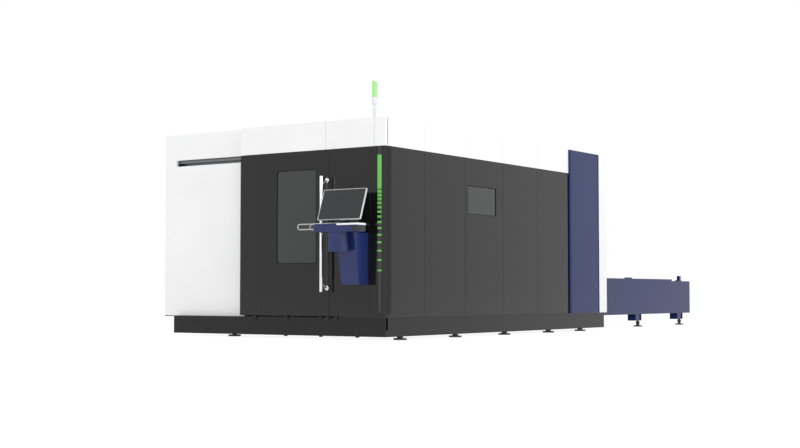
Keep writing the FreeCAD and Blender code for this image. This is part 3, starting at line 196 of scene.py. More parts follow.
# %% Effect: coat
def make_coat_effect():
    """The dimples of a powder coat, and a slow change of its gloss."""
    tree, given, result = new_effect(
        "powder coat",
        {"Dimples": 260.0, "Depth": 0.06, "Spread": 1.6},
        {"Normal": "Vector", "Gloss": "Float"})
    place = add(tree, "TexCoord").outputs["Object"]
    fine = add(tree, "TexNoise", Vector=place, Scale=given.outputs["Dimples"], Detail=1.0)
    skin = add(tree, "Bump", Height=fine.outputs["Fac"], Strength=given.outputs["Depth"], Distance=0.001)
    slow = add(tree, "TexNoise", Vector=place, Scale=given.outputs["Spread"], Detail=3.0)
    tree.links.new(skin.outputs["Normal"], result.inputs["Normal"])
    tree.links.new(slow.outputs["Fac"], result.inputs["Gloss"])
    return tree


powder_coat = make_coat_effect()

# %% [markdown]
# Dust settles on whatever faces up, and never evenly. The mask looks at how far a surface faces the sky and
# breaks the answer up with noise, so ledges and the roof carry a film while upright walls stay clean.

# %% Effect: dust
def make_dust_effect():
    """A mask of the dust on surfaces that face up."""
    tree, given, result = new_effect("dust", {"Amount": 0.3, "Patches": 5.0}, {"Mask": "Float"})
    facing = add(tree, "SeparateXYZ", Vector=add(tree, "NewGeometry").outputs["Normal"]).outputs["Z"]
    up = add(tree, "MapRange", Value=facing, From_Min=0.6, From_Max=1.0).outputs["Result"]
    place = add(tree, "TexCoord").outputs["Object"]
    patches = add(tree, "TexNoise", Vector=place, Scale=given.outputs["Patches"], Detail=5.0)
    film = math_node(tree, "MULTIPLY", up, patches.outputs["Fac"])
    tree.links.new(math_node(tree, "MULTIPLY", film, given.outputs["Amount"]), result.inputs["Mask"])
    return tree


settled_dust = make_dust_effect()

# %% [markdown]
# Near the floor a machine gathers scuffs and splashes. This mask grows towards the floor and is torn into
# spots by noise. It only needs the height of a point, because every piece keeps its place in its mesh.

# %% Effect: floor scuffs
def make_scuff_effect():
    """A mask of the scuffs and splashes that gather near the floor."""
    tree, given, result = new_effect("floor scuffs", {"Height": 0.25, "Amount": 0.5}, {"Mask": "Float"})
    place = add(tree, "TexCoord").outputs["Object"]
    level = add(tree, "SeparateXYZ", Vector=place).outputs["Z"]
    low = add(tree, "MapRange", Value=level, From_Min=0.0, From_Max=given.outputs["Height"],
              To_Min=1.0, To_Max=0.0).outputs["Result"]
    spots = add(tree, "TexNoise", Vector=place, Scale=14.0, Detail=8.0, Roughness=0.7).outputs["Fac"]
    torn = add(tree, "MapRange", Value=spots, From_Min=0.48, From_Max=0.68).outputs["Result"]
    scuffs = math_node(tree, "MULTIPLY", low, torn)
    tree.links.new(math_node(tree, "MULTIPLY", scuffs, given.outputs["Amount"]), result.inputs["Mask"])
    return tree


floor_scuffs = make_scuff_effect()

# %% [markdown]
# Ground and drawn metal has fine lines that all run one way. Noise that is stretched a hundred times along
# one axis gives them. The lines feed both the bump and the roughness, because each scratch also scatters
# light.

# %% Effect: drawn lines
def make_line_effect():
    """Fine lines along one axis, chosen by the three stretch values."""
    tree, given, result = new_effect(
        "drawn lines",
        {"Along X": 1.0, "Along Y": 1.0, "Along Z": 1.0, "Depth": 0.1},
        {"Normal": "Vector", "Lines": "Float"})
    place = add(tree, "TexCoord").outputs["Object"]
    stretch = add(tree, "CombineXYZ", X=given.outputs["Along X"], Y=given.outputs["Along Y"],
                  Z=given.outputs["Along Z"]).outputs["Vector"]
    vector = add(tree, "VectorMath", {"operation": "MULTIPLY"})
    tree.links.new(place, vector.inputs[0])
    tree.links.new(stretch, vector.inputs[1])
    lines = add(tree, "TexNoise", Vector=vector.outputs["Vector"], Scale=8.0, Detail=4.0).outputs["Fac"]
    skin = add(tree, "Bump", Height=lines, Strength=given.outputs["Depth"], Distance=0.0005)
    tree.links.new(skin.outputs["Normal"], result.inputs["Normal"])
    tree.links.new(lines, result.inputs["Lines"])
    return tree


drawn_lines = make_line_effect()

# %% [markdown]
# ## Painted finishes
#
# All painted parts are one recipe with different numbers: a colour, how glossy the coat is, how much dust it
# shows. The dark panels are almost black in themselves. What makes them look grey is the pale room that
# they mirror, and they mirror more of it the flatter we look along them, so the long side turns lighter
# towards its far end, as it does on the real machine.

# %% Painted materials
DUST_COLOUR = (0.45, 0.44, 0.42)
SPLASH_COLOUR = (0.10, 0.095, 0.09)
CHARCOAL = (0.0072, 0.0072, 0.0076)


def new_material(name):
    """An empty material, its tree and its shader."""
    material = bpy.data.materials.new(name)
    material.use_nodes = True
    tree = material.node_tree
    return material, tree, tree.nodes["Principled BSDF"]


def painted(name, colour, glossy, dull, dust=0.25, scuffs=0.0, specular=0.5, depth=0.05):
    """A powder coat between two roughness values, with dust on top and scuffs near the floor."""
    material, tree, shader = new_material(name)
    coat = use(tree, powder_coat, Depth=depth)
    film = use(tree, settled_dust, Amount=dust)
    marks = use(tree, floor_scuffs, Amount=scuffs)
    shade = tuple(channel * 0.9 for channel in colour)
    base = mixed(tree, coat.outputs["Gloss"], shade, colour)
    dusty = mixed(tree, film.outputs["Mask"], base, DUST_COLOUR)
    scuffed = mixed(tree, marks.outputs["Mask"], dusty, SPLASH_COLOUR)
    tree.links.new(scuffed, shader.inputs["Base Color"])
    rough = between(tree, coat.outputs["Gloss"], glossy, dull)
    rougher = math_node(tree, "ADD", rough, film.outputs["Mask"])
    tree.links.new(math_node(tree, "ADD", rougher, marks.outputs["Mask"]), shader.inputs["Roughness"])
    tree.links.new(coat.outputs["Normal"], shader.inputs["Normal"])
    shader.inputs["Specular IOR Level"].default_value = specular
    return material


dark_paint = painted("dark_coat", CHARCOAL, 0.06, 0.13, dust=0.12, scuffs=0.05, specular=0.378)
plinth_paint = painted("plinth_coat", CHARCOAL, 0.10, 0.18, dust=0.12, scuffs=0.05, specular=0.29)
white_paint = painted("white_coat", (0.84, 0.84, 0.845), 0.18, 0.30, dust=0.10)
blue_paint = painted("slate_blue_coat", (0.0035, 0.016, 0.095), 0.10, 0.18, dust=0.10, scuffs=0.03,
                     specular=0.27)
console_blue = painted("deep_blue_coat", (0.013, 0.025, 0.112), 0.16, 0.26, dust=0.05, specular=0.38)
black_paint = painted("black_coat", (0.008, 0.008, 0.009), 0.30, 0.42, dust=0.15)
bed_paint = painted("light_grey_coat", (0.30, 0.31, 0.33), 0.28, 0.45, dust=0.30, scuffs=0.25)
cast_paint = painted("painted_casting", (0.022, 0.022, 0.024), 0.38, 0.60, dust=0.20, scuffs=0.10, depth=0.35)

# %% [markdown]
# ## Bare metals
#
# Stainless handles, ground rails and milled plates differ in colour and in which way their lines run.
# The pallets are rusty and sooty mild steel: each sheet that is cut on them burns their teeth. Heat marks are
# a noise that moves the colour from steel to a brown oxide, strongest at the top of the slats.

# %% Metal materials
def metal(name, colour, smooth, rough, stretch, depth=0.10):
    """Bare metal with fine lines along one axis."""
    material, tree, shader = new_material(name)
    lines = use(tree, drawn_lines, Along_X=stretch[0], Along_Y=stretch[1], Along_Z=stretch[2], Depth=depth)
    shade = tuple(channel * 0.86 for channel in colour)
    tree.links.new(mixed(tree, lines.outputs["Lines"], shade, colour), shader.inputs["Base Color"])
    tree.links.new(between(tree, lines.outputs["Lines"], smooth, rough), shader.inputs["Roughness"])
    tree.links.new(lines.outputs["Normal"], shader.inputs["Normal"])
    shader.inputs["Metallic"].default_value = 1.0
    return material


stainless = metal("stainless", (0.86, 0.86, 0.87), 0.12, 0.24, (60.0, 60.0, 0.6), depth=0.05)
bright_steel = metal("ground_steel", (0.72, 0.73, 0.74), 0.12, 0.28, (60.0, 1.0, 60.0))
# The rail's dark grey is painted shade: it stands for the dark inside the slot where the rail runs.
shaded_rail_steel = metal("drawn_steel", (0.20, 0.20, 0.205), 0.32, 0.46, (0.8, 60.0, 60.0), depth=0.06)
shaft_steel = metal("turned_steel", (0.66, 0.67, 0.68), 0.16, 0.30, (90.0, 2.0, 2.0))
plain_steel = metal("rolled_steel", (0.40, 0.40, 0.41), 0.30, 0.48, (9.0, 0.8, 9.0), depth=0.20)
aluminium = metal("anodised_aluminium", (0.70, 0.71, 0.72), 0.26, 0.38, (0.8, 40.0, 40.0))
brass = metal("turned_brass", (0.78, 0.56, 0.24), 0.14, 0.26, (3.0, 3.0, 120.0))
chain_steel = metal("oiled_steel", (0.16, 0.155, 0.15), 0.22, 0.42, (30.0, 3.0, 30.0))


BARE_SLAT = (0.20, 0.19, 0.185)
RUSTY_SLAT = (0.17, 0.105, 0.07)
SOOTY_SLAT = (0.045, 0.040, 0.038)
SOOT_REACH = 0.07


def burnt(name, top):
    """Pallet steel that is browned and sooted by cutting, most of all near a given height."""
    material, tree, shader = new_material(name)
    place = add(tree, "TexCoord").outputs["Object"]
    level = add(tree, "SeparateXYZ", Vector=place).outputs["Z"]
    near = add(tree, "MapRange", Value=level, From_Min=top - SOOT_REACH, From_Max=top).outputs["Result"]
    heat = add(tree, "TexNoise", Vector=place, Scale=7.0, Detail=7.0, Roughness=0.65).outputs["Fac"]
    soot = add(tree, "TexNoise", Vector=place, Scale=42.0, Detail=4.0).outputs["Fac"]
    mask = math_node(tree, "MULTIPLY", near, heat)
    rusty = mixed(tree, heat, BARE_SLAT, RUSTY_SLAT)
    sooty = mixed(tree, mask, rusty, SOOTY_SLAT)
    tree.links.new(sooty, shader.inputs["Base Color"])
    tree.links.new(between(tree, soot, 0.42, 0.75), shader.inputs["Roughness"])
    tree.links.new(between(tree, heat, 0.85, 0.35), shader.inputs["Metallic"])
    skin = add(tree, "Bump", Height=soot, Strength=0.35, Distance=0.001)
    tree.links.new(skin.outputs["Normal"], shader.inputs["Normal"])
    return material


upper_slats = burnt("burnt_steel_upper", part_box("upper_pallet")[1].z)
lower_slats = burnt("burnt_steel_lower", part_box("lower_pallet")[1].z)

# %% [markdown]
# ## Plastics, glass and lamps
#
# Moulded plastic has the fine spark texture of its mould. The viewing panes are dark sheets that stop the
# laser's light, so the inside shows only faintly. The light strips glow through a milky cover: a small
# emission over a coloured base, bright enough to read as lit in a bright room and no brighter.

# %% Plastic, glass and light materials
def moulded(name, colour, rough, grain=900.0, depth=0.08, specular=0.5):
    """Moulded plastic with a fine grain."""
    material, tree, shader = new_material(name)
    place = add(tree, "TexCoord").outputs["Object"]
    spark = add(tree, "TexNoise", Vector=place, Scale=grain, Detail=2.0).outputs["Fac"]
    slow = add(tree, "TexNoise", Vector=place, Scale=9.0, Detail=3.0).outputs["Fac"]
    shade = tuple(channel * 0.93 for channel in colour)
    tree.links.new(mixed(tree, slow, shade, colour), shader.inputs["Base Color"])
    tree.links.new(between(tree, slow, rough * 0.85, rough * 1.15), shader.inputs["Roughness"])
    skin = add(tree, "Bump", Height=spark, Strength=depth, Distance=0.0003)
    tree.links.new(skin.outputs["Normal"], shader.inputs["Normal"])
    shader.inputs["Specular IOR Level"].default_value = specular
    return material


white_plastic = moulded("white_plastic", (0.84, 0.85, 0.86), 0.28)
grey_plastic = moulded("pale_grey_plastic", (0.70, 0.71, 0.72), 0.30)
dark_plastic = moulded("dark_plastic", (0.020, 0.020, 0.022), 0.45)
red_plastic = moulded("red_plastic", (0.60, 0.018, 0.016), 0.22, depth=0.03)
green_plastic = moulded("green_plastic", (0.06, 0.42, 0.07), 0.22, depth=0.03)


def pane(name, colour, rough, clear):
    """A dark pane that shows a little of what is behind it, with wiping marks in its gloss."""
    material, tree, shader = new_material(name)
    wiping = add(tree, "TexNoise", Vector=stretched(tree, (3.0, 3.0, 1.2)), Scale=2.0, Detail=4.0)
    shade = tuple(channel * 0.85 for channel in colour)
    tree.links.new(mixed(tree, wiping.outputs["Fac"], shade, colour), shader.inputs["Base Color"])
    tree.links.new(between(tree, wiping.outputs["Fac"], rough, rough + 0.05), shader.inputs["Roughness"])
    shader.inputs["Alpha"].default_value = 1.0 - clear
    shader.inputs["IOR"].default_value = 1.52
    return material


window_glass = pane("viewing_pane", (0.030, 0.033, 0.031), 0.02, 0.06)
screen_glass = pane("screen_glass", (0.008, 0.009, 0.011), 0.05, 0.0)


def lit(name, colour, strength):
    """A milky cover over lamps, a little uneven along its length."""
    material, tree, shader = new_material(name)
    place = add(tree, "TexCoord").outputs["Object"]
    uneven = add(tree, "TexNoise", Vector=place, Scale=26.0, Detail=1.0).outputs["Fac"]
    shade = tuple(channel * 0.88 for channel in colour)
    glow = mixed(tree, uneven, shade, colour)
    tree.links.new(glow, shader.inputs["Emission Color"])
    tree.links.new(glow, shader.inputs["Base Color"])
    shader.inputs["Emission Strength"].default_value = strength
    shader.inputs["Roughness"].default_value = 0.35
    return material


green_strip = lit("green_strip", (0.080, 0.325, 0.046), 0.40)
green_lamp = lit("green_lamp", (0.24, 0.50, 0.165), 0.56)

# %% [markdown]
# A few finishes are only on small parts: rubber for seals, a light bead-blasted metal for the screen's frame,
# brushed tube for the grab loops, blackened hardware for nuts, and the yellow that marks a stop button.

# %% Small finishes
seal_rubber = moulded("seal_rubber", (0.008, 0.008, 0.009), 0.42, grain=500.0, specular=0.16)
yellow_plastic = moulded("yellow_plastic", (0.72, 0.47, 0.03), 0.30)
light_metal = metal("blasted_aluminium", (0.80, 0.80, 0.81), 0.34, 0.44, (30.0, 30.0, 30.0), depth=0.04)
brushed_tube = metal("brushed_tube", (0.50, 0.50, 0.51), 0.22, 0.36, (0.8, 60.0, 60.0), depth=0.05)
dark_hardware = metal("blackened_steel", (0.060, 0.060, 0.064), 0.34, 0.52, (14.0, 14.0, 14.0), depth=0.10)

# %% [markdown]
# ## Paint every measured piece
#
# A measured piece keeps its mesh, and only the material in its slot is changed. Listing the pieces under
# their finish reads like a paint plan, and a piece that is forgotten stops the script.

# %% Paint plan
PAINT_PLAN = (
    (dark_paint, "corner_post front_fixed_panel right_wall_panels right_window_wall front_door rear_gate"),
    (plinth_paint, "plinth_front plinth_beams"),
    (white_paint, "left_front_wall front_band_panels corner_band side_band_panels left_wall_panels "
                  "rear_walls rear_lintel roof_panels laser_source"),
    (blue_paint, "right_column left_column table_sides table_ties"),
    (console_blue, "console_bracket console_box desk"),
    (black_paint, "monitor_stand"),
    (bed_paint, "bed_beams bed_cross_members control_cabinet gantry_trucks"),
    (cast_paint, "levelling_feet transfer_motor"),
    (stainless, "door_handle desk_handles"),
    (bright_steel, "long_guides cross_guides"),
    (shaft_steel, "drive_shaft idler_shaft"),
    (plain_steel, "door_hangers extraction_duct pallet_tracks"),
    (shaded_rail_steel, "door_rail"),
    (aluminium, "gantry_beam cross_carriage lift_slide"),
    (brass, "nozzle"),
    (chain_steel, "transfer_chains"),
    (upper_slats, "upper_pallet"),
    (lower_slats, "lower_pallet"),
    (white_plastic, "keyboard cutting_head"),
    (grey_plastic, "tower_pole tower_cap"),
    (dark_plastic, "monitor_housing"),
    (screen_glass, "monitor_screen"),
    (window_glass, "door_window right_window"),
    (red_plastic, "emergency_stop"),
    (green_plastic, "start_button"),
    (green_strip, "corner_light"),
    (green_lamp, "tower_lamp"),
)

painted_names = set()
for material, names in PAINT_PLAN:
    for name in names.split():
        nodes[name].data.materials[0] = material
        painted_names.add(name)
assert painted_names == set(nodes), sorted(set(nodes) ^ painted_names)
print(len(painted_names), "pieces painted in", len(PAINT_PLAN), "finishes")

# %% [markdown]
# ## Folded edges
#
# Sheet steel is folded, so no outer edge of a panel is a knife edge: it has a small radius that catches the
# light. The measured meshes have sharp edges, and they mustn't be changed, but modifiers may finish them.
# Weld joins their loose triangles, Bevel rounds the sharp edges, and Weighted Normal keeps the large faces
# flat while the rounding stays smooth.

# %% Rounded folds
FOLDS_MM = (
    (3.0, "left_front_wall front_fixed_panel front_band_panels corner_band right_wall_panels "
          "right_window_wall side_band_panels left_wall_panels rear_lintel roof_panels"),
    (4.0, "front_door rear_gate right_column left_column rear_walls console_bracket"),
    (5.0, "desk console_box table_sides table_ties laser_source control_cabinet"),
    (2.0, "plinth_front gantry_beam gantry_trucks cross_carriage lift_slide bed_beams "
          "monitor_stand"),
)


def round_folds(item, radius):
    """Join the loose triangles of a mesh and round its sharp edges, without touching the mesh itself."""
    weld = item.modifiers.new("weld", "WELD")
    weld.merge_threshold = 0.01 * MM
    fold = item.modifiers.new("fold", "BEVEL")
    fold.width = radius * MM
    fold.segments = 2
    fold.limit_method = "ANGLE"
    fold.angle_limit = math.radians(40.0)
    fold.use_clamp_overlap = True
    shade = item.modifiers.new("shade", "WEIGHTED_NORMAL")
    shade.keep_sharp = False


for radius, names in FOLDS_MM:
    for name in names.split():
        round_folds(nodes[name], radius)

# %% [markdown]
# ## Tools for new pieces
#
# New pieces are made as a maker would make them: blocks are milled and their edges broken, round parts are
# turned on a lathe, rods are cut to length. Each tool below adds one such shape to a mesh that is being
# built.

# %% Shape tools
UP = Vector((0.0, 0.0, 1.0))
RIGHT = Vector((1.0, 0.0, 0.0))
LEFT = Vector((-1.0, 0.0, 0.0))
FRONT = Vector((0.0, -1.0, 0.0))
REAR = Vector((0.0, 1.0, 0.0))
ROUND_STEPS = 32


def edges_of(verts):
    """Every edge that touches these vertices, once each and in a fixed order."""
    return list(dict.fromkeys(edge for vert in verts for edge in vert.link_edges))


def soften(shape, edges, radius, steps=2):
    """Round a few edges."""
    bmesh.ops.bevel(shape, geom=edges, offset=radius, offset_type="OFFSET", segments=steps, profile=0.5,
                    affect="EDGES", clamp_overlap=True, material=-1)


def block(shape, low, high, radius=0.0, steps=2):
    """A block between two corners, with rounded edges."""
    made = bmesh.ops.create_cube(shape, size=1.0)["verts"]
    bmesh.ops.scale(shape, verts=made, vec=Vector(high) - Vector(low))
    bmesh.ops.translate(shape, verts=made, vec=(Vector(low) + Vector(high)) / 2)
    if radius:
        soften(shape, edges_of(made), radius, steps)


def rod(shape, start, end, radius, steps=ROUND_STEPS, chamfer=0.0):
    """A round bar, or with six steps a hexagonal one, between two points."""
    run = Vector(end) - Vector(start)
    made = bmesh.ops.create_cone(shape, cap_ends=True, segments=steps, radius1=radius, radius2=radius,
                                 depth=run.length)["verts"]
    bmesh.ops.rotate(shape, verts=made, matrix=run.to_track_quat("Z", "Y").to_matrix())
    bmesh.ops.translate(shape, verts=made, vec=(Vector(start) + Vector(end)) / 2)
    if chamfer:
        rims = [edge for edge in edges_of(made) if any(len(face.verts) > 4 for face in edge.link_faces)]
        soften(shape, rims, chamfer)


def lathe(shape, foot, profile, axis=UP, steps=ROUND_STEPS):
    """A turned part: the profile lists (radius, height) from its foot, along its axis."""
    turn = axis.to_track_quat("Z", "Y").to_matrix()
    points = [shape.verts.new(foot + turn @ Vector((radius, 0.0, height))) for radius, height in profile]
    lines = [shape.edges.new(pair) for pair in zip(points, points[1:])]
    bmesh.ops.spin(shape, geom=points + lines, cent=foot, axis=axis, angle=math.tau, steps=steps,
                   use_merge=True)


def screw(shape, foot, radius, axis=UP):
    """A socket screw's head: a low drum with a broken rim and a hexagonal recess."""
    height = radius * 0.8
    made = bmesh.ops.create_cone(shape, cap_ends=True, segments=12, radius1=radius, radius2=radius * 0.94,
                                 depth=height)["verts"]
    bmesh.ops.rotate(shape, verts=made, matrix=axis.to_track_quat("Z", "Y").to_matrix())
    bmesh.ops.translate(shape, verts=made, vec=foot + axis * height / 2)
    faces = {face for vert in made for face in vert.link_faces}
    top = max(faces, key=lambda face: face.calc_center_median().dot(axis))
    bmesh.ops.inset_region(shape, faces=[top], thickness=radius * 0.45, depth=0.0)
    bmesh.ops.translate(shape, verts=top.verts, vec=-axis * height * 0.5)


def as_piece(shape, name, material, body, stands_for=(), crisp=35.0):
    """Make a built shape a piece that rides on a body."""
    mesh = bpy.data.meshes.new(name)
    shape.to_mesh(mesh)
    shape.free()
    mesh.materials.append(material)
    mesh.shade_smooth()
    mesh.set_sharp_from_angle(angle=math.radians(crisp))
    item = bpy.data.objects.new(name, mesh)
    bpy.context.scene.collection.objects.link(item)
    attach(item, body)
    if stands_for:
        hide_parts(*stands_for)
    print(name, "-", len(mesh.polygons), "faces, rides on", body)


def finished(shape, name, material, body, stands_for=(), crisp=35.0):
    """Join the doubles of a built shape, turn its faces outwards and make it a piece."""
    bmesh.ops.remove_doubles(shape, verts=shape.verts, dist=0.002 * MM)
    bmesh.ops.recalc_face_normals(shape, faces=shape.faces)
    as_piece(shape, name, material, body, stands_for, crisp)


# %% [markdown]
# ## Finding the solids of a node
#
# Some measured nodes hold several solids, such as all the feet. To put a nut on each foot we need each foot's
# own box. Two corners belong to the same solid when a chain of edges joins them, so the helper walks along
# the edges from corner to corner until nothing is left.

# %% Boxes of separate solids
def solids(name):
    """The lowest and highest corner of every separate solid of a node, in a fixed order."""
    shape = bmesh.new()
    shape.from_mesh(nodes[name].data)
    bmesh.ops.remove_doubles(shape, verts=shape.verts, dist=0.01 * MM)
    waiting = set(shape.verts)
    found = []
    while waiting:
        to_visit = [waiting.pop()]
        places = []
        while to_visit:
            vert = to_visit.pop()
            places.append(vert.co.copy())
            for edge in vert.link_edges:
                other = edge.other_vert(vert)
                if other in waiting:
                    waiting.remove(other)
                    to_visit.append(other)
        low = Vector([min(place[axis] for place in places) for axis in range(3)])
        high = Vector([max(place[axis] for place in places) for axis in range(3)])
        found.append((low, high))
    shape.free()
    return sorted(found, key=lambda pair: tuple(round(value, 3) for value in pair[0]))


# %% [markdown]
# ## Door handle
#
# The tall handle is a stainless tube with a turned plug in each end. Two standoffs carry it. They slant
# outwards to a round foot on the door, so that a gloved hand never meets a screw. The measured handle gives
# its place: the tube is as wide as the handle's box.

# %% Handle bar and standoffs
HANDLE_FROM_END = 79 * MM
STANDOFF_SLANT = 62 * MM
STANDOFF_RADIUS = 10.5 * MM
STANDOFF_FOOT_RADIUS = 25 * MM
PLUG_EDGE = 3 * MM


def make_handle():
    """A tube with plugged ends on two slanted standoffs."""
    low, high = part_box("door_handle")
    radius = (high.x - low.x) / 2
    x = (low.x + high.x) / 2
    bar_y = low.y + radius
    length = high.z - low.z
    edge = PLUG_EDGE
    shape = bmesh.new()
    lathe(shape, Vector((x, bar_y, low.z)), [
        (0.0, 0.4 * edge), (radius - 3 * edge, 0.4 * edge), (radius - 2.6 * edge, 0.0), (radius - edge, 0.0),
        (radius - 0.3 * edge, 0.3 * edge), (radius, edge), (radius, length - edge),
        (radius - 0.3 * edge, length - 0.3 * edge), (radius - edge, length),
        (radius - 2.6 * edge, length), (radius - 3 * edge, length - 0.4 * edge), (0.0, length - 0.4 * edge)])
    lower_end = (low.z + HANDLE_FROM_END, -STANDOFF_SLANT)
    upper_end = (high.z - HANDLE_FROM_END, STANDOFF_SLANT)
    for level, slant in (lower_end, upper_end):
        bar_end = Vector((x, bar_y, level - slant * 0.4))
        door_end = Vector((x, high.y - 7 * MM, level + slant * 0.6))
        rod(shape, bar_end, door_end, STANDOFF_RADIUS, 20)
        foot = Vector((x, high.y + 0.5 * MM, door_end.z))
        lathe(shape, foot, [
            (0.0, 0.0), (STANDOFF_FOOT_RADIUS, 0.0), (STANDOFF_FOOT_RADIUS, 5 * MM), (22 * MM, 9 * MM),
            (14 * MM, 12 * MM), (0.0, 12 * MM)], FRONT, 24)
    finished(shape, "handle_bar", stainless, "door", ["door_handle"])


make_handle()

# %% [markdown]
# Behind the handle runs a black strip with countersunk screws. Its black is painted shadow: the strip lies
# where the handle's shadow falls on the door.

# %% Strip behind the handle
STRIP_HALF_WIDE = 14.5 * MM
STRIP_PROUD = 1.2 * MM
STRIP_SUNK = 3.8 * MM
STRIP_SCREWS = 7
SCREW_FROM_STANDOFF = 60 * MM


def make_shadow_strip():
    """A black strip over the narrow raised plate of the door, with a row of flat screws; its black is painted
    shadow of the handle.
    """
    low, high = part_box("door_handle")
    x = (low.x + high.x) / 2
    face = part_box("front_door")[0].y
    shape = bmesh.new()
    block(shape, (x - STRIP_HALF_WIDE, face - STRIP_PROUD, low.z - 1 * MM),
          (x + STRIP_HALF_WIDE, face + STRIP_SUNK, high.z + 1 * MM), 1.1 * MM)
    for index in range(STRIP_SCREWS):
        level = low.z + (high.z - low.z) * (index + 0.5) / STRIP_SCREWS
        from_standoff = min(abs(level - low.z - HANDLE_FROM_END), abs(high.z - HANDLE_FROM_END - level))
        if from_standoff > SCREW_FROM_STANDOFF:
            lathe(shape, Vector((x, face - 1.1 * MM, level)),
                  [(6 * MM, 0.0), (5 * MM, 0.7 * MM), (2.2 * MM, 0.7 * MM), (0.0, -0.1 * MM)], FRONT, 16)
    # Black paint here is painted shadow: it stands for the handle's shadow on the door.
    finished(shape, "handle_shadow_strip", black_paint, "door")


make_shadow_strip()

# %% [markdown]
# ## Door seal
#
# Between the sliding door and the fixed panel a black rubber lip closes the gap against dust and light. From
# the front it reads as a fine line, not as an open slot.

# %% Rubber lip of the door
SEAL_SET_BACK = 1.2 * MM
SEAL_REACH = 24 * MM


def make_seal():
    """A rubber lip along the closing edge of the door, a little behind its face."""
    door_low, door_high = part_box("front_door")
    panel_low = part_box("front_fixed_panel")[0]
    face = panel_low.y
    shape = bmesh.new()
    block(shape, (door_high.x - 1 * MM, face + SEAL_SET_BACK, door_low.z + 3 * MM),
          (panel_low.x - 0.6 * MM, face + SEAL_REACH, door_high.z - 3 * MM), 1.2 * MM)
    finished(shape, "door_seal", seal_rubber, "door")


make_seal()

# %% [markdown]
# A rubber bead also fills the seam between the fixed panel and the rounded post, which never opens.

# %% Bead beside the post
BEAD_LAP = 2 * MM
BEAD_DEEP = 12 * MM
BEAD_ABOVE_PLINTH = 60 * MM


def make_post_bead():
    """A rubber bead in the seam beside the rounded post, no prouder than the sheets."""
    panel_low, panel_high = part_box("front_fixed_panel")
    post_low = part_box("corner_post")[0]
    shape = bmesh.new()
    block(shape, (panel_high.x - BEAD_LAP, panel_low.y - 0.2 * MM, panel_low.z + BEAD_ABOVE_PLINTH),
          (post_low.x + BEAD_LAP, panel_low.y + BEAD_DEEP, panel_high.z - 2 * MM), 1.0 * MM)
    finished(shape, "post_bead", seal_rubber, "machine")


make_post_bead()

# %% [markdown]
# ## Window gaskets
#
# Each pane sits in a soft black frame. A flat grid gives the frame's outline, its corners are rounded, an
# inset makes the ring, and the middle is thrown away. Drawing the ring out gives it its depth.

# %% Gaskets round the panes
def ring(shape, centre, right, up, half_wide, half_tall, radius, width, depth):
    """A rounded rectangular frame. It stands out of its plane along right x up by its depth."""
    out = right.cross(up)
    made = bmesh.ops.create_grid(shape, x_segments=1, y_segments=1, size=1.0)["verts"]
    turn = Matrix((right * half_wide, up * half_tall, out)).transposed()
    for vert in made:
        vert.co = centre + turn @ vert.co
    rounded = bmesh.ops.bevel(shape, geom=list(made), offset=radius, offset_type="OFFSET", segments=6,
                              profile=0.5, affect="VERTICES", clamp_overlap=True, material=-1)
    face = rounded["verts"][0].link_faces[0]
    inner = bmesh.ops.inset_region(shape, faces=[face], thickness=width, depth=0.0, use_boundary=True,
                                   use_even_offset=True)["faces"]
    bmesh.ops.delete(shape, geom=[face], context="FACES_ONLY")
    grown = bmesh.ops.extrude_face_region(shape, geom=inner)["geom"]
    lifted = [item for item in grown if isinstance(item, bmesh.types.BMVert)]
    bmesh.ops.translate(shape, verts=lifted, vec=out * depth)
    rims = [edge for edge in edges_of(lifted) if len(edge.link_faces) == 2
            and all(vert in lifted for vert in edge.verts) and edge.calc_face_angle(0.0) > 0.6]
    soften(shape, rims, min(width, depth) * 0.3, 2)


PANE_LAP = 14.7 * MM
DOOR_WINDOW_RADIUS = 40 * MM
SIDE_WINDOW_RADIUS = 20 * MM
GASKET_WIDTH = 8 * MM
GASKET_DEPTH = 3 * MM
GASKET_LAP = 3 * MM


def make_gasket(name, across, half_wide, half_tall, centre, radius, body):
    """A gasket round an opening, sunk by half its depth into the face of the sheet."""
    sunk = centre - across.cross(UP) * (GASKET_DEPTH / 2)
    shape = bmesh.new()
    ring(shape, sunk, across, UP, half_wide + GASKET_LAP, half_tall + GASKET_LAP, radius + GASKET_LAP,
         GASKET_WIDTH, GASKET_DEPTH)
    finished(shape, name, seal_rubber, body)


door_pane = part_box("door_window")
door_middle = (door_pane[0] + door_pane[1]) / 2
door_middle.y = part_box("front_fixed_panel")[0].y
make_gasket("door_gasket", RIGHT, (door_pane[1].x - door_pane[0].x) / 2 - PANE_LAP,
            (door_pane[1].z - door_pane[0].z) / 2 - PANE_LAP, door_middle, DOOR_WINDOW_RADIUS, "door")

side_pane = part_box("right_window")
side_middle = (side_pane[0] + side_pane[1]) / 2
side_middle.x = side_x
make_gasket("side_gasket", REAR, (side_pane[1].y - side_pane[0].y) / 2 - PANE_LAP,
            (side_pane[1].z - side_pane[0].z) / 2 - PANE_LAP, side_middle, SIDE_WINDOW_RADIUS, "machine")

# %% [markdown]
# ## Monitor
#
# The screen leans back, so its pieces are built upright round the middle of the glass and then set in place
# by one matrix. That matrix comes from the glass itself: the largest face gives the direction the screen
# looks in. A slim light frame goes round the housing, and the back gets cooling slots and a mounting plate.

# %% The plane of the screen
def plane_of(name, toward):
    """A matrix from a flat node's own plane (right, up, out) to the machine, and its half sizes."""
    mesh = nodes[name].data
    best = max(mesh.polygons, key=lambda face: face.area * face.normal.dot(toward))
    out = best.normal.copy()
    up = out.cross(RIGHT).normalized()
    points = [(vert.co.dot(RIGHT), vert.co.dot(up), vert.co.dot(out)) for vert in mesh.vertices]
    low = [min(point[axis] for point in points) for axis in range(3)]
    high = [max(point[axis] for point in points) for axis in range(3)]
    middle_right, middle_up = (low[0] + high[0]) / 2, (low[1] + high[1]) / 2
    centre = RIGHT * middle_right + up * middle_up + out * high[2]
    matrix = Matrix((RIGHT, up, out)).transposed().to_4x4()
    matrix.translation = centre
    return matrix, (high[0] - low[0]) / 2, (high[1] - low[1]) / 2


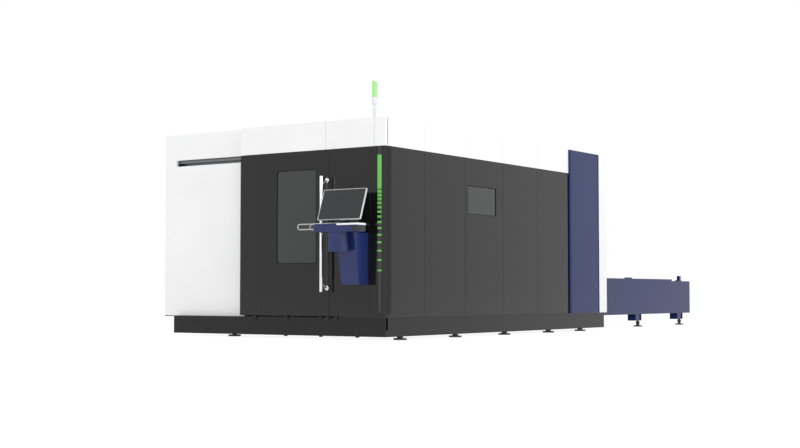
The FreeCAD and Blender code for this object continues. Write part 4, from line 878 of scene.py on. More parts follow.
screen_plane, screen_half_wide, screen_half_tall = plane_of("monitor_screen", FRONT)
print("screen half sizes", round(screen_half_wide, 4), round(screen_half_tall, 4))

# %% [markdown]
# The frame is the ring of the gaskets again, now in metal and deeper. The slots and the mounting plate are
# thin blocks with soft edges, sunk a little into the back so that no gap shows under them.

# %% Frame and back of the monitor
BEZEL = 12 * MM
FRAME_WIDTH = 4.5 * MM
FRAME_PROUD = 1.2 * MM
FRAME_BEHIND_GLASS = 16 * MM
FRAME_DEPTH = 18.4 * MM
MONITOR_DEEP = 40 * MM
COOLING_SLOTS = 9
SLOT_HALF_LONG = 62 * MM
MOUNT_HALF = 60 * MM
MOUNT_SCREW = 50 * MM
MOUNT_INNER = 26 * MM


def make_monitor_frame():
    """A slim light frame that wraps the front edge of the housing."""
    shape = bmesh.new()
    upwards = Vector((0.0, 1.0, 0.0))
    ring(shape, Vector((0.0, 0.0, -FRAME_BEHIND_GLASS)), RIGHT, upwards,
         screen_half_wide + BEZEL + FRAME_PROUD, screen_half_tall + BEZEL + FRAME_PROUD, 6 * MM, FRAME_WIDTH,
         FRAME_DEPTH)
    bmesh.ops.transform(shape, verts=shape.verts, matrix=screen_plane)
    finished(shape, "monitor_frame", light_metal, "monitor")


def make_monitor_back():
    """Cooling slots and a mounting plate with four screws on the back of the housing."""
    shape = bmesh.new()
    back = -MONITOR_DEEP
    for side in (-1, 1):
        for index in range(COOLING_SLOTS):
            level = screen_half_tall * (0.15 + 0.07 * index)
            slot_middle = side * screen_half_wide * 0.42
            block(shape, (slot_middle - SLOT_HALF_LONG, level - 2 * MM, back - 1.6 * MM),
                  (slot_middle + SLOT_HALF_LONG, level + 2 * MM, back + 1 * MM), 0.9 * MM)
    for x in (-MOUNT_SCREW, MOUNT_SCREW):
        for y in (-MOUNT_SCREW, MOUNT_SCREW):
            screw(shape, Vector((x, y, back)), 5 * MM, -UP)
    for start, end in ((-MOUNT_HALF, -MOUNT_INNER), (MOUNT_INNER, MOUNT_HALF)):
        block(shape, (start, -MOUNT_HALF, back - 2.5 * MM), (end, MOUNT_HALF, back + 1 * MM), 1.2 * MM)
    bmesh.ops.transform(shape, verts=shape.verts, matrix=screen_plane)
    finished(shape, "monitor_back", dark_plastic, "monitor")


make_monitor_frame()
make_monitor_back()

# %% [markdown]
# ## Keyboard
#
# A keyboard is one key, repeated. Each key is a small block that narrows towards its softened top, like the
# real caps. Each row is written as digits, one for the width of each key, so the wide keys and the space bar
# stand out. A flat touch pad fills the front, and the keys stand on a rounded tray.

# %% Keyboard
KEY_PITCH = 16.2 * MM
KEY_GAP = 2.6 * MM
KEY_TALL = 3.4 * MM
KEY_TAPER = 0.16
KEY_ROWS = ("111111111111111", "2111111111112", "1121111111112", "2111111111112", "1116111111")
KEYS_FROM_REAR = 12 * MM
TRAY_RIM = 3.5 * MM
TOUCH_HALF_WIDE = 42 * MM
TOUCH_NEAR = 12 * MM
TOUCH_FAR = 62 * MM


def key_cap(shape, low, wide, deep, tall):
    """A tapered key with a softened rim."""
    made = bmesh.ops.create_cube(shape, size=1.0)["verts"]
    bmesh.ops.scale(shape, verts=made, vec=(wide, deep, tall))
    bmesh.ops.translate(shape, verts=made, vec=low + Vector((wide, deep, tall)) / 2)
    top = [vert for vert in made if vert.co.z > low.z + tall / 2]
    centre = low + Vector((wide, deep, tall)) / 2
    for vert in top:
        vert.co.x += (centre.x - vert.co.x) * KEY_TAPER
        vert.co.y += (centre.y - vert.co.y) * KEY_TAPER
    soften(shape, [edge for edge in edges_of(top) if all(vert in top for vert in edge.verts)], 1.0 * MM, 1)


def make_keyboard():
    """The tray, its keys and the touch pad."""
    low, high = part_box("keyboard")
    shape = bmesh.new()
    block(shape, low, (high.x, high.y, high.z - TRAY_RIM), TRAY_RIM, 3)
    deck = high.z - TRAY_RIM - 0.1 * MM
    start_x = low.x + (high.x - low.x - len(KEY_ROWS[0]) * KEY_PITCH) / 2
    for row, keys in enumerate(KEY_ROWS):
        x = start_x
        y = high.y - KEYS_FROM_REAR - (row + 1) * KEY_PITCH
        for units in map(int, keys):
            key_cap(shape, Vector((x, y, deck)), units * KEY_PITCH - KEY_GAP, KEY_PITCH - KEY_GAP, KEY_TALL)
            x += units * KEY_PITCH
    pad_middle = (low.x + high.x) / 2
    block(shape, (pad_middle - TOUCH_HALF_WIDE, low.y + TOUCH_NEAR, deck - 1 * MM),
          (pad_middle + TOUCH_HALF_WIDE, low.y + TOUCH_FAR, deck + 0.6 * MM), 0.7 * MM)
    finished(shape, "keyboard_keys", white_plastic, "machine", ["keyboard"])


make_keyboard()

# %% [markdown]
# ## Grab loops
#
# Two loops of bent tube leave the left end of the desk. Bending is what spin does: a flat round slice of the
# tube is drawn out straight, spun through half a turn, and drawn out straight again.

# %% Grab loops
LOOP_RADIUS = 6.5 * MM
LOOP_FOOT_RADIUS = 11 * MM
LOOP_FOOT_PROUD = 5 * MM


def tube_round(shape, start, reach, drop, radius, steps=16):
    """A tube that runs left from its start, turns down through half a circle and runs back."""
    slice_verts = bmesh.ops.create_circle(shape, cap_ends=True, segments=steps, radius=radius)["verts"]
    bmesh.ops.rotate(shape, verts=slice_verts, matrix=Matrix.Rotation(math.radians(90.0), 3, "Y"))
    bmesh.ops.translate(shape, verts=slice_verts, vec=start)
    first = slice_verts[0].link_faces[0]

    def draw(face, run):
        grown = bmesh.ops.extrude_face_region(shape, geom=[face])["geom"]
        bmesh.ops.translate(shape, verts=[item for item in grown if isinstance(item, bmesh.types.BMVert)],
                            vec=run)
        return [item for item in grown if isinstance(item, bmesh.types.BMFace)][0]

    cap = draw(first, LEFT * reach)
    centre = start + LEFT * reach - UP * drop / 2
    spun = bmesh.ops.spin(shape, geom=[cap], cent=centre, axis=REAR, angle=-math.pi, steps=14,
                          use_merge=False)["geom_last"]
    last = [item for item in spun if isinstance(item, bmesh.types.BMFace)][0]
    draw(last, RIGHT * reach)


def make_loops():
    """Both loops, with a round foot where each enters the desk."""
    desk_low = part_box("desk")[0]
    loops = sorted(solids("desk_handles"), key=lambda pair: pair[0].y)
    shape = bmesh.new()
    for low, high in loops:
        thick = (high.y - low.y) / 2
        y = (low.y + high.y) / 2
        top = high.z - thick
        drop = (high.z - low.z) - 2 * thick
        start = Vector((desk_low.x + 2 * MM, y, top))
        reach = start.x - (low.x + thick + drop / 2)
        foot_x = desk_low.x - LOOP_FOOT_PROUD
        tube_round(shape, start, reach, drop, LOOP_RADIUS)
        low_z = top - drop
        rod(shape, (desk_low.x + 1 * MM, y, low_z), (foot_x, y, low_z), LOOP_FOOT_RADIUS, 20, 1.2 * MM)
        rod(shape, (start.x, y, top), (high.x, y, top), LOOP_RADIUS, 16, 1.0 * MM)
        rod(shape, (desk_low.x + 6 * MM, y, top), (foot_x, y, top), LOOP_FOOT_RADIUS, 20, 1.2 * MM)
    finished(shape, "grab_loops", brushed_tube, "machine", ["desk_handles"], 50.0)


make_loops()

# %% [markdown]
# ## Stop button and start button
#
# The stop is a red mushroom on a yellow collar, so that a palm finds it at once. The mushroom is turned, with
# a flat crown and a deep rim. The green button is a shallow cap in a steel bezel. Mushroom and cap move,
# while collar and bezel stay with the machine.

# %% Buttons
MUSHROOM_CLEARANCE = 8.5 * MM
SUNK_IN_BRACKET = 0.5 * MM


def make_buttons():
    """The two buttons on the left side of the bracket, and what surrounds them."""
    low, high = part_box("emergency_stop")
    bracket_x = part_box("console_bracket")[0].x
    y, z = (low.y + high.y) / 2, (low.z + high.z) / 2
    radius = (high.z - low.z) / 2
    foot = Vector((high.x, y, z))
    tall = high.x - low.x
    head = high.x - bracket_x + MUSHROOM_CLEARANCE
    shape = bmesh.new()
    lathe(shape, foot, [
        (0.0, 0.0), (radius * 0.5, 0.0), (radius * 0.5, head), (radius * 0.8, head),
        (radius * 0.98, head + 2 * MM), (radius, head + 4.5 * MM), (radius * 0.97, tall - 4 * MM),
        (radius * 0.82, tall - 1.2 * MM), (radius * 0.55, tall), (0.0, tall)], LEFT, 40)
    finished(shape, "stop_mushroom", red_plastic, "stop_button", ["emergency_stop"])

    shape = bmesh.new()
    lathe(shape, Vector((bracket_x + SUNK_IN_BRACKET, y, z)), [
        (radius * 0.56, 0.0), (radius * 1.35, 0.0), (radius * 1.35, 2 * MM), (radius * 1.2, 3.4 * MM),
        (radius * 0.56, 3.4 * MM), (radius * 0.56, 0.0)], LEFT, 40)
    finished(shape, "stop_collar", yellow_plastic, "machine")

    low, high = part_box("start_button")
    z = (low.z + high.z) / 2
    radius = (high.z - low.z) / 2
    tall = high.x - low.x
    shape = bmesh.new()
    lathe(shape, Vector((high.x, y, z)), [
        (0.0, 0.0), (radius, 0.0), (radius, tall - 1.5 * MM), (radius * 0.88, tall - 0.4 * MM),
        (radius * 0.6, tall - 1.2 * MM), (0.0, tall - 1.6 * MM)], LEFT, 32)
    finished(shape, "start_cap", green_plastic, "green_button", ["start_button"])

    shape = bmesh.new()
    lathe(shape, Vector((bracket_x + SUNK_IN_BRACKET, y, z)), [
        (radius * 1.06, 0.0), (radius * 1.45, 0.0), (radius * 1.45, 2 * MM), (radius * 1.3, 4 * MM),
        (radius * 1.12, 4.4 * MM), (radius * 1.06, 3.4 * MM), (radius * 1.06, 0.0)], LEFT, 40)
    finished(shape, "start_bezel", stainless, "machine")


make_buttons()

# %% [markdown]
# ## Console fittings
#
# The control box has a lid with a screw near each corner and slots for air. The slots and screws are what
# tells a box of electronics from a plain block.

# %% Lid, slots and screws of the control box
LID_INSET = 14 * MM
LID_PROUD = 1.6 * MM
LID_SCREW_FROM_EDGE = 9 * MM
AIR_SLOTS = 5
AIR_SLOT_PITCH = 9 * MM
AIR_SLOT_INSET = 40 * MM


def make_console_fittings():
    """The lid of the control box, its slots and its screws."""
    low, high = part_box("console_box")
    shape = bmesh.new()
    block(shape, (low.x + LID_INSET, low.y - LID_PROUD, low.z + LID_INSET),
          (high.x - LID_INSET, low.y + 3 * MM, high.z - LID_INSET), 1.4 * MM)
    for index in range(AIR_SLOTS):
        level = low.z + 36 * MM + index * AIR_SLOT_PITCH
        block(shape, (low.x + AIR_SLOT_INSET, low.y - 2.8 * MM, level - 1.5 * MM),
              (high.x - AIR_SLOT_INSET, low.y - 1 * MM, level + 1.5 * MM), 0.8 * MM)
    finished(shape, "console_lid", console_blue, "machine")

    inset = LID_INSET + LID_SCREW_FROM_EDGE
    shape = bmesh.new()
    for x in (low.x + inset, high.x - inset):
        for z in (low.z + inset, high.z - inset):
            screw(shape, Vector((x, low.y - LID_PROUD, z)), 3.6 * MM, FRONT)
    finished(shape, "console_screws", dark_hardware, "machine")


make_console_fittings()

# %% [markdown]
# ## Signal lamp
#
# The lamp on the roof is a clear ribbed tube over a light. The ribs are turned with the tube: the profile of
# the lathe goes in and out once per rib. The pole gets a collar under the lamp and three screws in its
# flange.

# %% Lamp and its pole
LENS_RIBS = 11
LENS_GROOVE = 0.94


def make_lamp_column():
    """The ribbed lamp, and the screws and collar of its pole."""
    low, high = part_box("tower_lamp")
    radius = (high.x - low.x) / 2
    centre = (low + high) / 2
    foot = Vector((centre.x, centre.y, low.z))
    tall = high.z - low.z
    groove = radius * LENS_GROOVE
    rib = tall / LENS_RIBS
    profile = [(0.0, 0.0), (groove, 0.0)]
    for index in range(LENS_RIBS):
        start = rib * (index + 0.12)
        profile += [(groove, start), (radius, start + rib * 0.18), (radius, start + rib * 0.58),
                    (groove, start + rib * 0.76)]
    profile += [(groove, tall), (0.0, tall)]
    shape = bmesh.new()
    lathe(shape, foot, profile, UP, 40)
    finished(shape, "lamp_lens", green_lamp, "machine", ["tower_lamp"])

    pole_low, pole_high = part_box("tower_pole")
    screw_circle = (pole_high.x - pole_low.x) / 2 * 0.80
    flange_top = pole_low.z + 11 * MM
    bore = radius * 0.9
    rim = radius + 1.5 * MM
    shape = bmesh.new()
    lathe(shape, Vector((centre.x, centre.y, low.z - 2 * MM)), [
        (bore, -3 * MM), (rim, -3 * MM), (rim, 2 * MM), (radius * 0.96, 4 * MM), (bore, 4 * MM),
        (bore, -3 * MM)], UP, 40)
    for index in range(3):
        turn = math.tau * (index + 0.25) / 3
        outwards = Vector((math.cos(turn), math.sin(turn), 0.0))
        screw(shape, Vector((centre.x, centre.y, flange_top)) + outwards * screw_circle, 2.8 * MM)
    finished(shape, "lamp_collar", stainless, "machine")


make_lamp_column()

# %% [markdown]
# ## Levelling feet
#
# The machine stands on screwed feet. The short ones under the bed show a washer and a wide nut, the long ones
# under the table a threaded stem and its lock nut. The thread is a stack of fine ridges: at this size nobody
# can tell rings from a helix, and rings are a single lathe profile.

# %% Nuts and threads of the feet
def threaded(shape, foot, radius, tall, pitch):
    """A round stem with ridges all the way up."""
    turns = max(2, int(tall / pitch))
    profile = [(0.0, 0.0)]
    for index in range(turns):
        profile.append((radius, tall * (index + 0.1) / turns))
        profile.append((radius + pitch * 0.35, tall * (index + 0.5) / turns))
    profile += [(radius, tall), (0.0, tall)]
    lathe(shape, foot, profile, UP, 20)


PAD_THICK = 18 * MM
SHORT_FOOT = 70 * MM
WASHER_BORE = 25 * MM
WASHER_RADIUS = 36 * MM
STEM_RADIUS = 13.2 * MM
STEM_ABOVE_THREAD = 60 * MM
THREAD_PITCH = 5 * MM


def make_foot_hardware():
    """A washer and a wide nut on the short feet of the bed, a thread and a lock nut on the table's."""
    shape = bmesh.new()
    for low, high in solids("levelling_feet"):
        x, y = (low.x + high.x) / 2, (low.y + high.y) / 2
        pad_top = low.z + PAD_THICK
        if high.z - low.z < SHORT_FOOT:
            lathe(shape, Vector((x, y, pad_top - 0.5 * MM)), [
                (WASHER_BORE, 0.0), (WASHER_RADIUS, 0.0), (WASHER_RADIUS, 3 * MM), (32 * MM, 4 * MM),
                (WASHER_BORE, 4 * MM), (WASHER_BORE, 0.0)], UP, 32)
            rod(shape, (x, y, high.z - 13 * MM), (x, y, high.z - 1 * MM), 33 * MM, 6, 1.5 * MM)
        else:
            thread_tall = high.z - pad_top - STEM_ABOVE_THREAD
            threaded(shape, Vector((x, y, pad_top)), STEM_RADIUS, thread_tall, THREAD_PITCH)
            rod(shape, (x, y, pad_top + 1 * MM), (x, y, pad_top + 13 * MM), 24 * MM, 6, 1.5 * MM)
    finished(shape, "foot_nuts", dark_hardware, "machine")


make_foot_hardware()

# %% [markdown]
# ## Foot of the rounded post
#
# Towards the floor the rounded corner opens into a square one, so that it meets the plinth. A stack of bent
# lines describes this: each is straight, turns through an arc and is straight again, and the arc tightens
# from the top line to the bottom one. Bridging the lines gives the sheet, and solidify gives it a thickness.

# %% Flared foot
FLARE_TALL = 58 * MM
FLARE_LEG = 126 * MM
FLARE_ROUND = 120 * MM
FLARE_LEVELS = 7
FLARE_PROUD = 0.9 * MM
FLARE_SHEET = 0.8 * MM
SQUARE_ROUND = 5 * MM


def bent_line(shape, at, radius):
    """A line that comes along the front, turns the corner with a radius and leaves along the side."""
    first = shape.verts.new(at + Vector((-FLARE_LEG, 0.0, 0.0)))
    tangent = shape.verts.new(at + Vector((-radius, 0.0, 0.0)))
    shape.edges.new((first, tangent))
    spun = bmesh.ops.spin(shape, geom=[tangent], cent=at + Vector((-radius, radius, 0.0)), axis=UP,
                          angle=math.radians(90.0), steps=12, use_merge=False)
    last = [item for item in spun["geom_last"] if isinstance(item, bmesh.types.BMVert)][0]
    end = shape.verts.new(at + Vector((0.0, FLARE_LEG, 0.0)))
    shape.edges.new((last, end))
    return [edge for edge in shape.edges if all(abs(vert.co.z - at.z) < 0.01 * MM for vert in edge.verts)]


def make_flare():
    """The flared foot of the rounded post, a hair proud of it."""
    foot = Vector((side_x + FLARE_PROUD, front_y - FLARE_PROUD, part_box("corner_post")[0].z))
    widest = FLARE_ROUND + 2 * FLARE_PROUD
    shape = bmesh.new()
    lines = []
    for index in range(FLARE_LEVELS + 1):
        share = index / FLARE_LEVELS
        radius = SQUARE_ROUND + (widest - SQUARE_ROUND) * share
        lines.append(bent_line(shape, foot + UP * FLARE_TALL * share, radius))
    for below, above in zip(lines, lines[1:]):
        bmesh.ops.bridge_loops(shape, edges=below + above)
    bmesh.ops.recalc_face_normals(shape, faces=shape.faces)
    bmesh.ops.solidify(shape, geom=shape.faces[:], thickness=FLARE_SHEET)
    finished(shape, "post_flare", dark_paint, "machine", crisp=60.0)


make_flare()

# %% [markdown]
# ## Cover behind the door's rail
# Through the slot one looks at the rail and at a plain sheet that keeps sparks off the rollers. It stands
# just behind the carriages of the door, so that they run free. Its light grey, darker than the white panels
# round the slot, is painted shade of the slot.

# %% Sheet behind the slot
COVER_BEHIND_CARRIAGES = 8 * MM
COVER_TALL = 110 * MM
COVER_LIP = 6 * MM


def make_rail_cover():
    """A folded sheet that closes the view through the slot; its grey is painted shade."""
    rail_low, rail_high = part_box("door_rail")
    hanger_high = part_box("door_hangers")[1]
    near = hanger_high.y + COVER_BEHIND_CARRIAGES
    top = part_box("front_band_panels")[0].z - 1 * MM
    foot = top - COVER_TALL
    shape = bmesh.new()
    block(shape, (rail_low.x, near, foot), (rail_high.x, near + 2 * MM, top), 0.9 * MM)
    block(shape, (rail_low.x, near - COVER_LIP, foot), (rail_high.x, near + 1 * MM, foot + 2 * MM), 0.9 * MM)
    # Light grey paint: painted shade inside the slot.
    finished(shape, "rail_cover", bed_paint, "machine")


make_rail_cover()

# %% [markdown]
# Where the door's travel ends, a rubber block takes the knock of its carriages. A short thick rod with soft
# rims is enough for it, on an upright plate.

# %% Buffer at the end of the rail
BUFFER_FROM_RAIL_END = 86 * MM
BUFFER_LONG = 52 * MM
BUFFER_RADIUS = 22 * MM
BUFFER_BELOW_RAIL = 34 * MM
PLATE_BELOW_RAIL = 70 * MM


def make_rail_buffer():
    """A rubber block on a plate that stops the door's carriages at the left end of the slot."""
    rail_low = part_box("door_rail")[0]
    start = rail_low.x + BUFFER_FROM_RAIL_END
    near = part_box("left_front_wall")[1].y + 2 * MM
    level = rail_low.z - BUFFER_BELOW_RAIL
    shape = bmesh.new()
    block(shape, (start, near, rail_low.z - PLATE_BELOW_RAIL),
          (start + 6 * MM, near + 40 * MM, rail_low.z + 2 * MM), 1 * MM)
    rod(shape, (start + 5 * MM, near + 18 * MM, level), (start + BUFFER_LONG, near + 18 * MM, level),
        BUFFER_RADIUS, 24, 4 * MM)
    finished(shape, "rail_buffer", seal_rubber, "machine")


make_rail_buffer()

# %% [markdown]
# ## End of the desk
#
# The right end of the desk is a dark moulding that covers the ends of the folded sheet. Its black is partly
# painted shade, the dark of the desk's end that faces away from the light. A round cap in its front closes a
# socket.

# %% Desk end
DESK_END_LONG = 66 * MM
DESK_END_PROUD = 0.9 * MM
DESK_END_ROUND = 14 * MM
CAP_FROM_END = 55 * MM
CAP_RADIUS = 9 * MM


def make_desk_end():
    """A dark end moulding with a round cap in its front; its black is partly painted shade."""
    low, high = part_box("desk")
    under_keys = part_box("keyboard")[0].z - 0.4 * MM
    proud = DESK_END_PROUD
    shape = bmesh.new()
    block(shape, (high.x - DESK_END_LONG, low.y - proud, low.z - proud),
          (high.x + proud, high.y + proud, under_keys), DESK_END_ROUND, 4)
    # Black paint, partly painted shade on the desk's right end.
    finished(shape, "desk_end", black_paint, "machine")
    shape = bmesh.new()
    lathe(shape, Vector((high.x - CAP_FROM_END, low.y - 0.5 * MM, (low.z + under_keys) / 2 + 4 * MM)), [
        (0.0, 0.0), (CAP_RADIUS, 0.0), (CAP_RADIUS, 1.6 * MM), (8 * MM, 2.4 * MM), (6 * MM, 2.4 * MM),
        (5.4 * MM, 1.6 * MM), (0.0, 1.6 * MM)], FRONT, 28)
    finished(shape, "desk_cap", black_paint, "machine")


make_desk_end()

# %% [markdown]
# ## Roller chains
#
# Two endless chains pull the pallets. A measured chain is a smooth band, and a real one is made of links. We
# model one link with two plates and a roller, then set it again and again round the loop: along the top,
# round the driven wheel, back along the bottom and round the idler. Outer and inner links take turns. A chain
# is many closed links that already face outwards, so nothing in it is merged.

# %% One link
CHAIN_TEETH = 12
PLATE_THICK = 2.6 * MM
PLATE_TALL = 13.4 * MM
ROLLER_RADIUS = 4.8 * MM
OUTER_HALF_WIDE = 11.5 * MM
INNER_HALF_WIDE = 8.2 * MM


def make_link(name, pitch, half_width):
    """One link, lying along Y, with a plate on each side and a roller at its first end."""
    shape = bmesh.new()
    for side in (-1, 1):
        made = bmesh.ops.create_cube(shape, size=1.0)["verts"]
        bmesh.ops.scale(shape, verts=made, vec=(PLATE_THICK, pitch + PLATE_TALL * 0.86, PLATE_TALL))
        bmesh.ops.translate(shape, verts=made, vec=(side * half_width, 0.0, 0.0))
        across = [edge for edge in edges_of(made) if abs((edge.verts[0].co - edge.verts[1].co).x) > 1 * MM]
        soften(shape, across, PLATE_TALL * 0.42)
    rod(shape, (-half_width, -pitch / 2, 0.0), (half_width, -pitch / 2, 0.0), ROLLER_RADIUS, 8)
    mesh = bpy.data.meshes.new(name)
    shape.to_mesh(mesh)
    shape.free()
    return mesh


# %% [markdown]
# The way round both wheels is two straight runs and two half circles. A helper answers where the chain is
# after a given distance, and each link is laid between two such points, turned along the line between them.

# %% The loop of each chain
def on_loop(distance, near, far, level, radius):
    """Where the chain is after a distance: a point (0, y, z) on the stadium round both wheels."""
    straight = far - near
    bend = math.pi * radius
    if distance < straight:
        return Vector((0.0, near + distance, level + radius))
    if distance < straight + bend:
        turn = (distance - straight) / radius
        return Vector((0.0, far + radius * math.sin(turn), level + radius * math.cos(turn)))
    if distance < 2 * straight + bend:
        return Vector((0.0, far - (distance - straight - bend), level - radius))
    turn = (distance - 2 * straight - bend) / radius
    return Vector((0.0, near - radius * math.sin(turn), level - radius * math.cos(turn)))


def make_chains():
    """Both endless chains, link by link."""
    near = sum((point.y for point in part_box("idler_shaft")), 0.0) / 2
    far = sum((point.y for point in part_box("drive_shaft")), 0.0) / 2
    loops = solids("transfer_chains")
    level = (loops[0][0].z + loops[0][1].z) / 2
    radius = (loops[0][1].z - loops[0][0].z) / 2 - 7 * MM
    whole = 2 * (far - near) + math.tau * radius
    wanted = 2 * radius * math.sin(math.pi / CHAIN_TEETH)
    count = 2 * round(whole / wanted / 2)
    pitch = whole / count
    links = (make_link("outer_link", pitch, OUTER_HALF_WIDE), make_link("inner_link", pitch, INNER_HALF_WIDE))
    sides = (("chain_left", ["transfer_chains"]), ("chain_right", []))
    for (low, high), (name, stands_for) in zip(loops, sides):
        x = (low.x + high.x) / 2
        shape = bmesh.new()
        for index in range(count):
            start = on_loop(index * pitch, near, far, level, radius)
            end = on_loop((index + 1) % count * pitch, near, far, level, radius)
            run = end - start
            place = Matrix.Translation((start + end) / 2 + RIGHT * x)
            place @= Matrix.Rotation(math.atan2(run.z, run.y), 4, "X")
            mesh = links[index % 2]
            mesh.transform(place)
            shape.from_mesh(mesh)
            mesh.transform(place.inverted())
        as_piece(shape, name, chain_steel, "machine", stands_for)


make_chains()

# %% [markdown]
# The wheels of the chains get their teeth. A tooth is a block that narrows outwards, and twelve of them are
# set round each wheel.

# %% Teeth of the chain wheels
TOOTH_SIZE = Vector((9.0, 15.0, 11.0)) * MM
TOOTH_MIDDLE = 4 * MM


def make_teeth(name, shaft, body):
    """Twelve teeth on each of the two wheels of a shaft."""
    low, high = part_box(shaft)
    axis_y, axis_z = (low.y + high.y) / 2, (low.z + high.z) / 2
    root = (high.z - low.z) / 2 - 2 * MM
    shape = bmesh.new()
    for chain_low, chain_high in solids("transfer_chains"):
        x = (chain_low.x + chain_high.x) / 2
        for index in range(CHAIN_TEETH):
            made = bmesh.ops.create_cube(shape, size=1.0)["verts"]
            bmesh.ops.scale(shape, verts=made, vec=TOOTH_SIZE)
            bmesh.ops.translate(shape, verts=made, vec=(0.0, 0.0, root + TOOTH_MIDDLE))
            for vert in made:
                if vert.co.z > root + TOOTH_MIDDLE:
                    vert.co.y *= 0.42
                    vert.co.x *= 0.6
            turn = Matrix.Rotation(math.tau * (index + 0.5) / CHAIN_TEETH, 3, "X")
            bmesh.ops.rotate(shape, verts=made, matrix=turn)
            bmesh.ops.translate(shape, verts=made, vec=(x, axis_y, axis_z))
    finished(shape, name, chain_steel, body)


make_teeth("drive_teeth", "drive_shaft", "drive")
make_teeth("idler_teeth", "idler_shaft", "idler")

# %% [markdown]
# ## Scrap trays
#
# What is cut off falls through the pallet into trays that hang between the cross members of the bed. A tray
# is a box without its lid whose walls lean outwards: its bottom corners are drawn in, its rim is drawn out
# into a flange, and solidify turns the surface into sheet.

# %% Trays under the pallet
TRAY_HALF_WIDE = 960 * MM
TRAY_DEEP = 130 * MM
TRAY_LEAN = 110 * MM
TRAY_FLANGE = 28 * MM
TRAY_SHEET = 3 * MM
TRAY_CLEARANCE = 6 * MM


def tray(shape, low, high):
    """An open box of sheet between two corners, with leaning walls and a flange round its rim."""
    made = bmesh.ops.create_cube(shape, size=1.0)["verts"]
    bmesh.ops.scale(shape, verts=made, vec=high - low)
    bmesh.ops.translate(shape, verts=made, vec=(low + high) / 2)
    middle_of_tray = (low + high) / 2
    upper = [vert for vert in made if vert.co.z > middle_of_tray.z]
    for vert in made:
        if vert not in upper:
            vert.co.x -= math.copysign(TRAY_LEAN, vert.co.x - middle_of_tray.x)
            vert.co.y -= math.copysign(TRAY_LEAN, vert.co.y - middle_of_tray.y)
    lid = [face for face in upper[0].link_faces if all(vert in upper for vert in face.verts)]
    bmesh.ops.delete(shape, geom=lid, context="FACES_ONLY")
    rim = [edge for edge in edges_of(upper) if all(vert in upper for vert in edge.verts)]
    grown = bmesh.ops.extrude_edge_only(shape, edges=rim)["geom"]
    for vert in [item for item in grown if isinstance(item, bmesh.types.BMVert)]:
        vert.co.x += math.copysign(TRAY_FLANGE, vert.co.x - middle_of_tray.x)
        vert.co.y += math.copysign(TRAY_FLANGE, vert.co.y - middle_of_tray.y)


def make_trays():
    """A tray in every bay between two cross members, its flange on their tops."""
    members = solids("bed_cross_members")
    shape = bmesh.new()
    for (_, near_high), (far_low, _) in zip(members, members[1:]):
        top = near_high.z + 0.5 * MM
        tray(shape, Vector((-TRAY_HALF_WIDE, near_high.y + TRAY_CLEARANCE, top - TRAY_DEEP)),
             Vector((TRAY_HALF_WIDE, far_low.y - TRAY_CLEARANCE, top)))
    bmesh.ops.recalc_face_normals(shape, faces=shape.faces)
    bmesh.ops.solidify(shape, geom=shape.faces[:], thickness=-TRAY_SHEET)
    finished(shape, "scrap_trays", plain_steel, "machine")


make_trays()

# %% [markdown]
# ## Motors
#
# Servo motors are cast with cooling ribs. A ribbed sleeve is turned round each plain measured motor. Where
# the axis of a motor is comes from the measured mesh: the middle of the corners at its very end.

# %% Ribbed sleeves on the motors
MOTOR_RADIUS = 48 * MM
MOTOR_LENGTH = 190 * MM
SLEEVE_RIBS = 9
SLEEVE_CAP = 1.2 * MM


def end_middle(name, low, high, upper):
    """The middle of the corners at the top or the bottom end of a solid."""
    level = high.z if upper else low.z
    inside = [vert.co for vert in nodes[name].data.vertices
              if abs(vert.co.z - level) < 0.1 * MM and low.x - MM < vert.co.x < high.x + MM]
    xs = [place.x for place in inside]
    ys = [place.y for place in inside]
    return Vector(((min(xs) + max(xs)) / 2, (min(ys) + max(ys)) / 2, level))


def sleeve(shape, foot, axis):
    """A ribbed sleeve with an end cap and four screws."""
    radius = MOTOR_RADIUS + 0.6 * MM
    profile = [(0.0, -SLEEVE_CAP), (radius * 0.86, -SLEEVE_CAP), (radius, 3 * MM)]
    for index in range(SLEEVE_RIBS):
        start = 16 * MM + index * (MOTOR_LENGTH - 50 * MM) / SLEEVE_RIBS
        profile += [(radius, start), (radius + 3 * MM, start + 1 * MM), (radius + 3 * MM, start + 7 * MM),
                    (radius, start + 8 * MM)]
    profile += [(radius, MOTOR_LENGTH - 14 * MM), (radius - 2 * MM, MOTOR_LENGTH - 14 * MM)]
    lathe(shape, foot, profile, axis, 28)
    for index in range(4):
        turn = math.tau * (index + 0.5) / 4
        place = foot + Vector((math.cos(turn), math.sin(turn), 0.0)) * radius * 0.66 - axis * SLEEVE_CAP
        screw(shape, place, 3 * MM, -axis)


def make_sleeves(name, node, body, upper):
    """A sleeve on the upright motor of each solid of a node."""
    shape = bmesh.new()
    for low, high in solids(node):
        sleeve(shape, end_middle(node, low, high, upper), -UP if upper else UP)
    finished(shape, name, cast_paint, body, crisp=40.0)


make_sleeves("gantry_motors", "gantry_trucks", "gantry", True)
make_sleeves("lift_motor", "cross_carriage", "carriage", True)
make_sleeves("table_motor", "transfer_motor", "machine", False)

# %% [markdown]
# ## Cutting head
#
# The head is a stack: a lens housing, a slide for the protective window and the nozzle holder. Turned
# collars mark where its parts are screwed together, a small drawer with a knob holds the window, and two
# fittings for gas stand on top.

# %% Collars and drawer of the head
BARREL_RADIUS = 42 * MM
COLLAR_TALL = 10 * MM
COLLAR_HEIGHTS = (4 * MM, 44 * MM, 92 * MM)
DRAWER_HEIGHT = 56 * MM
DRAWER_SIZE = 30 * MM


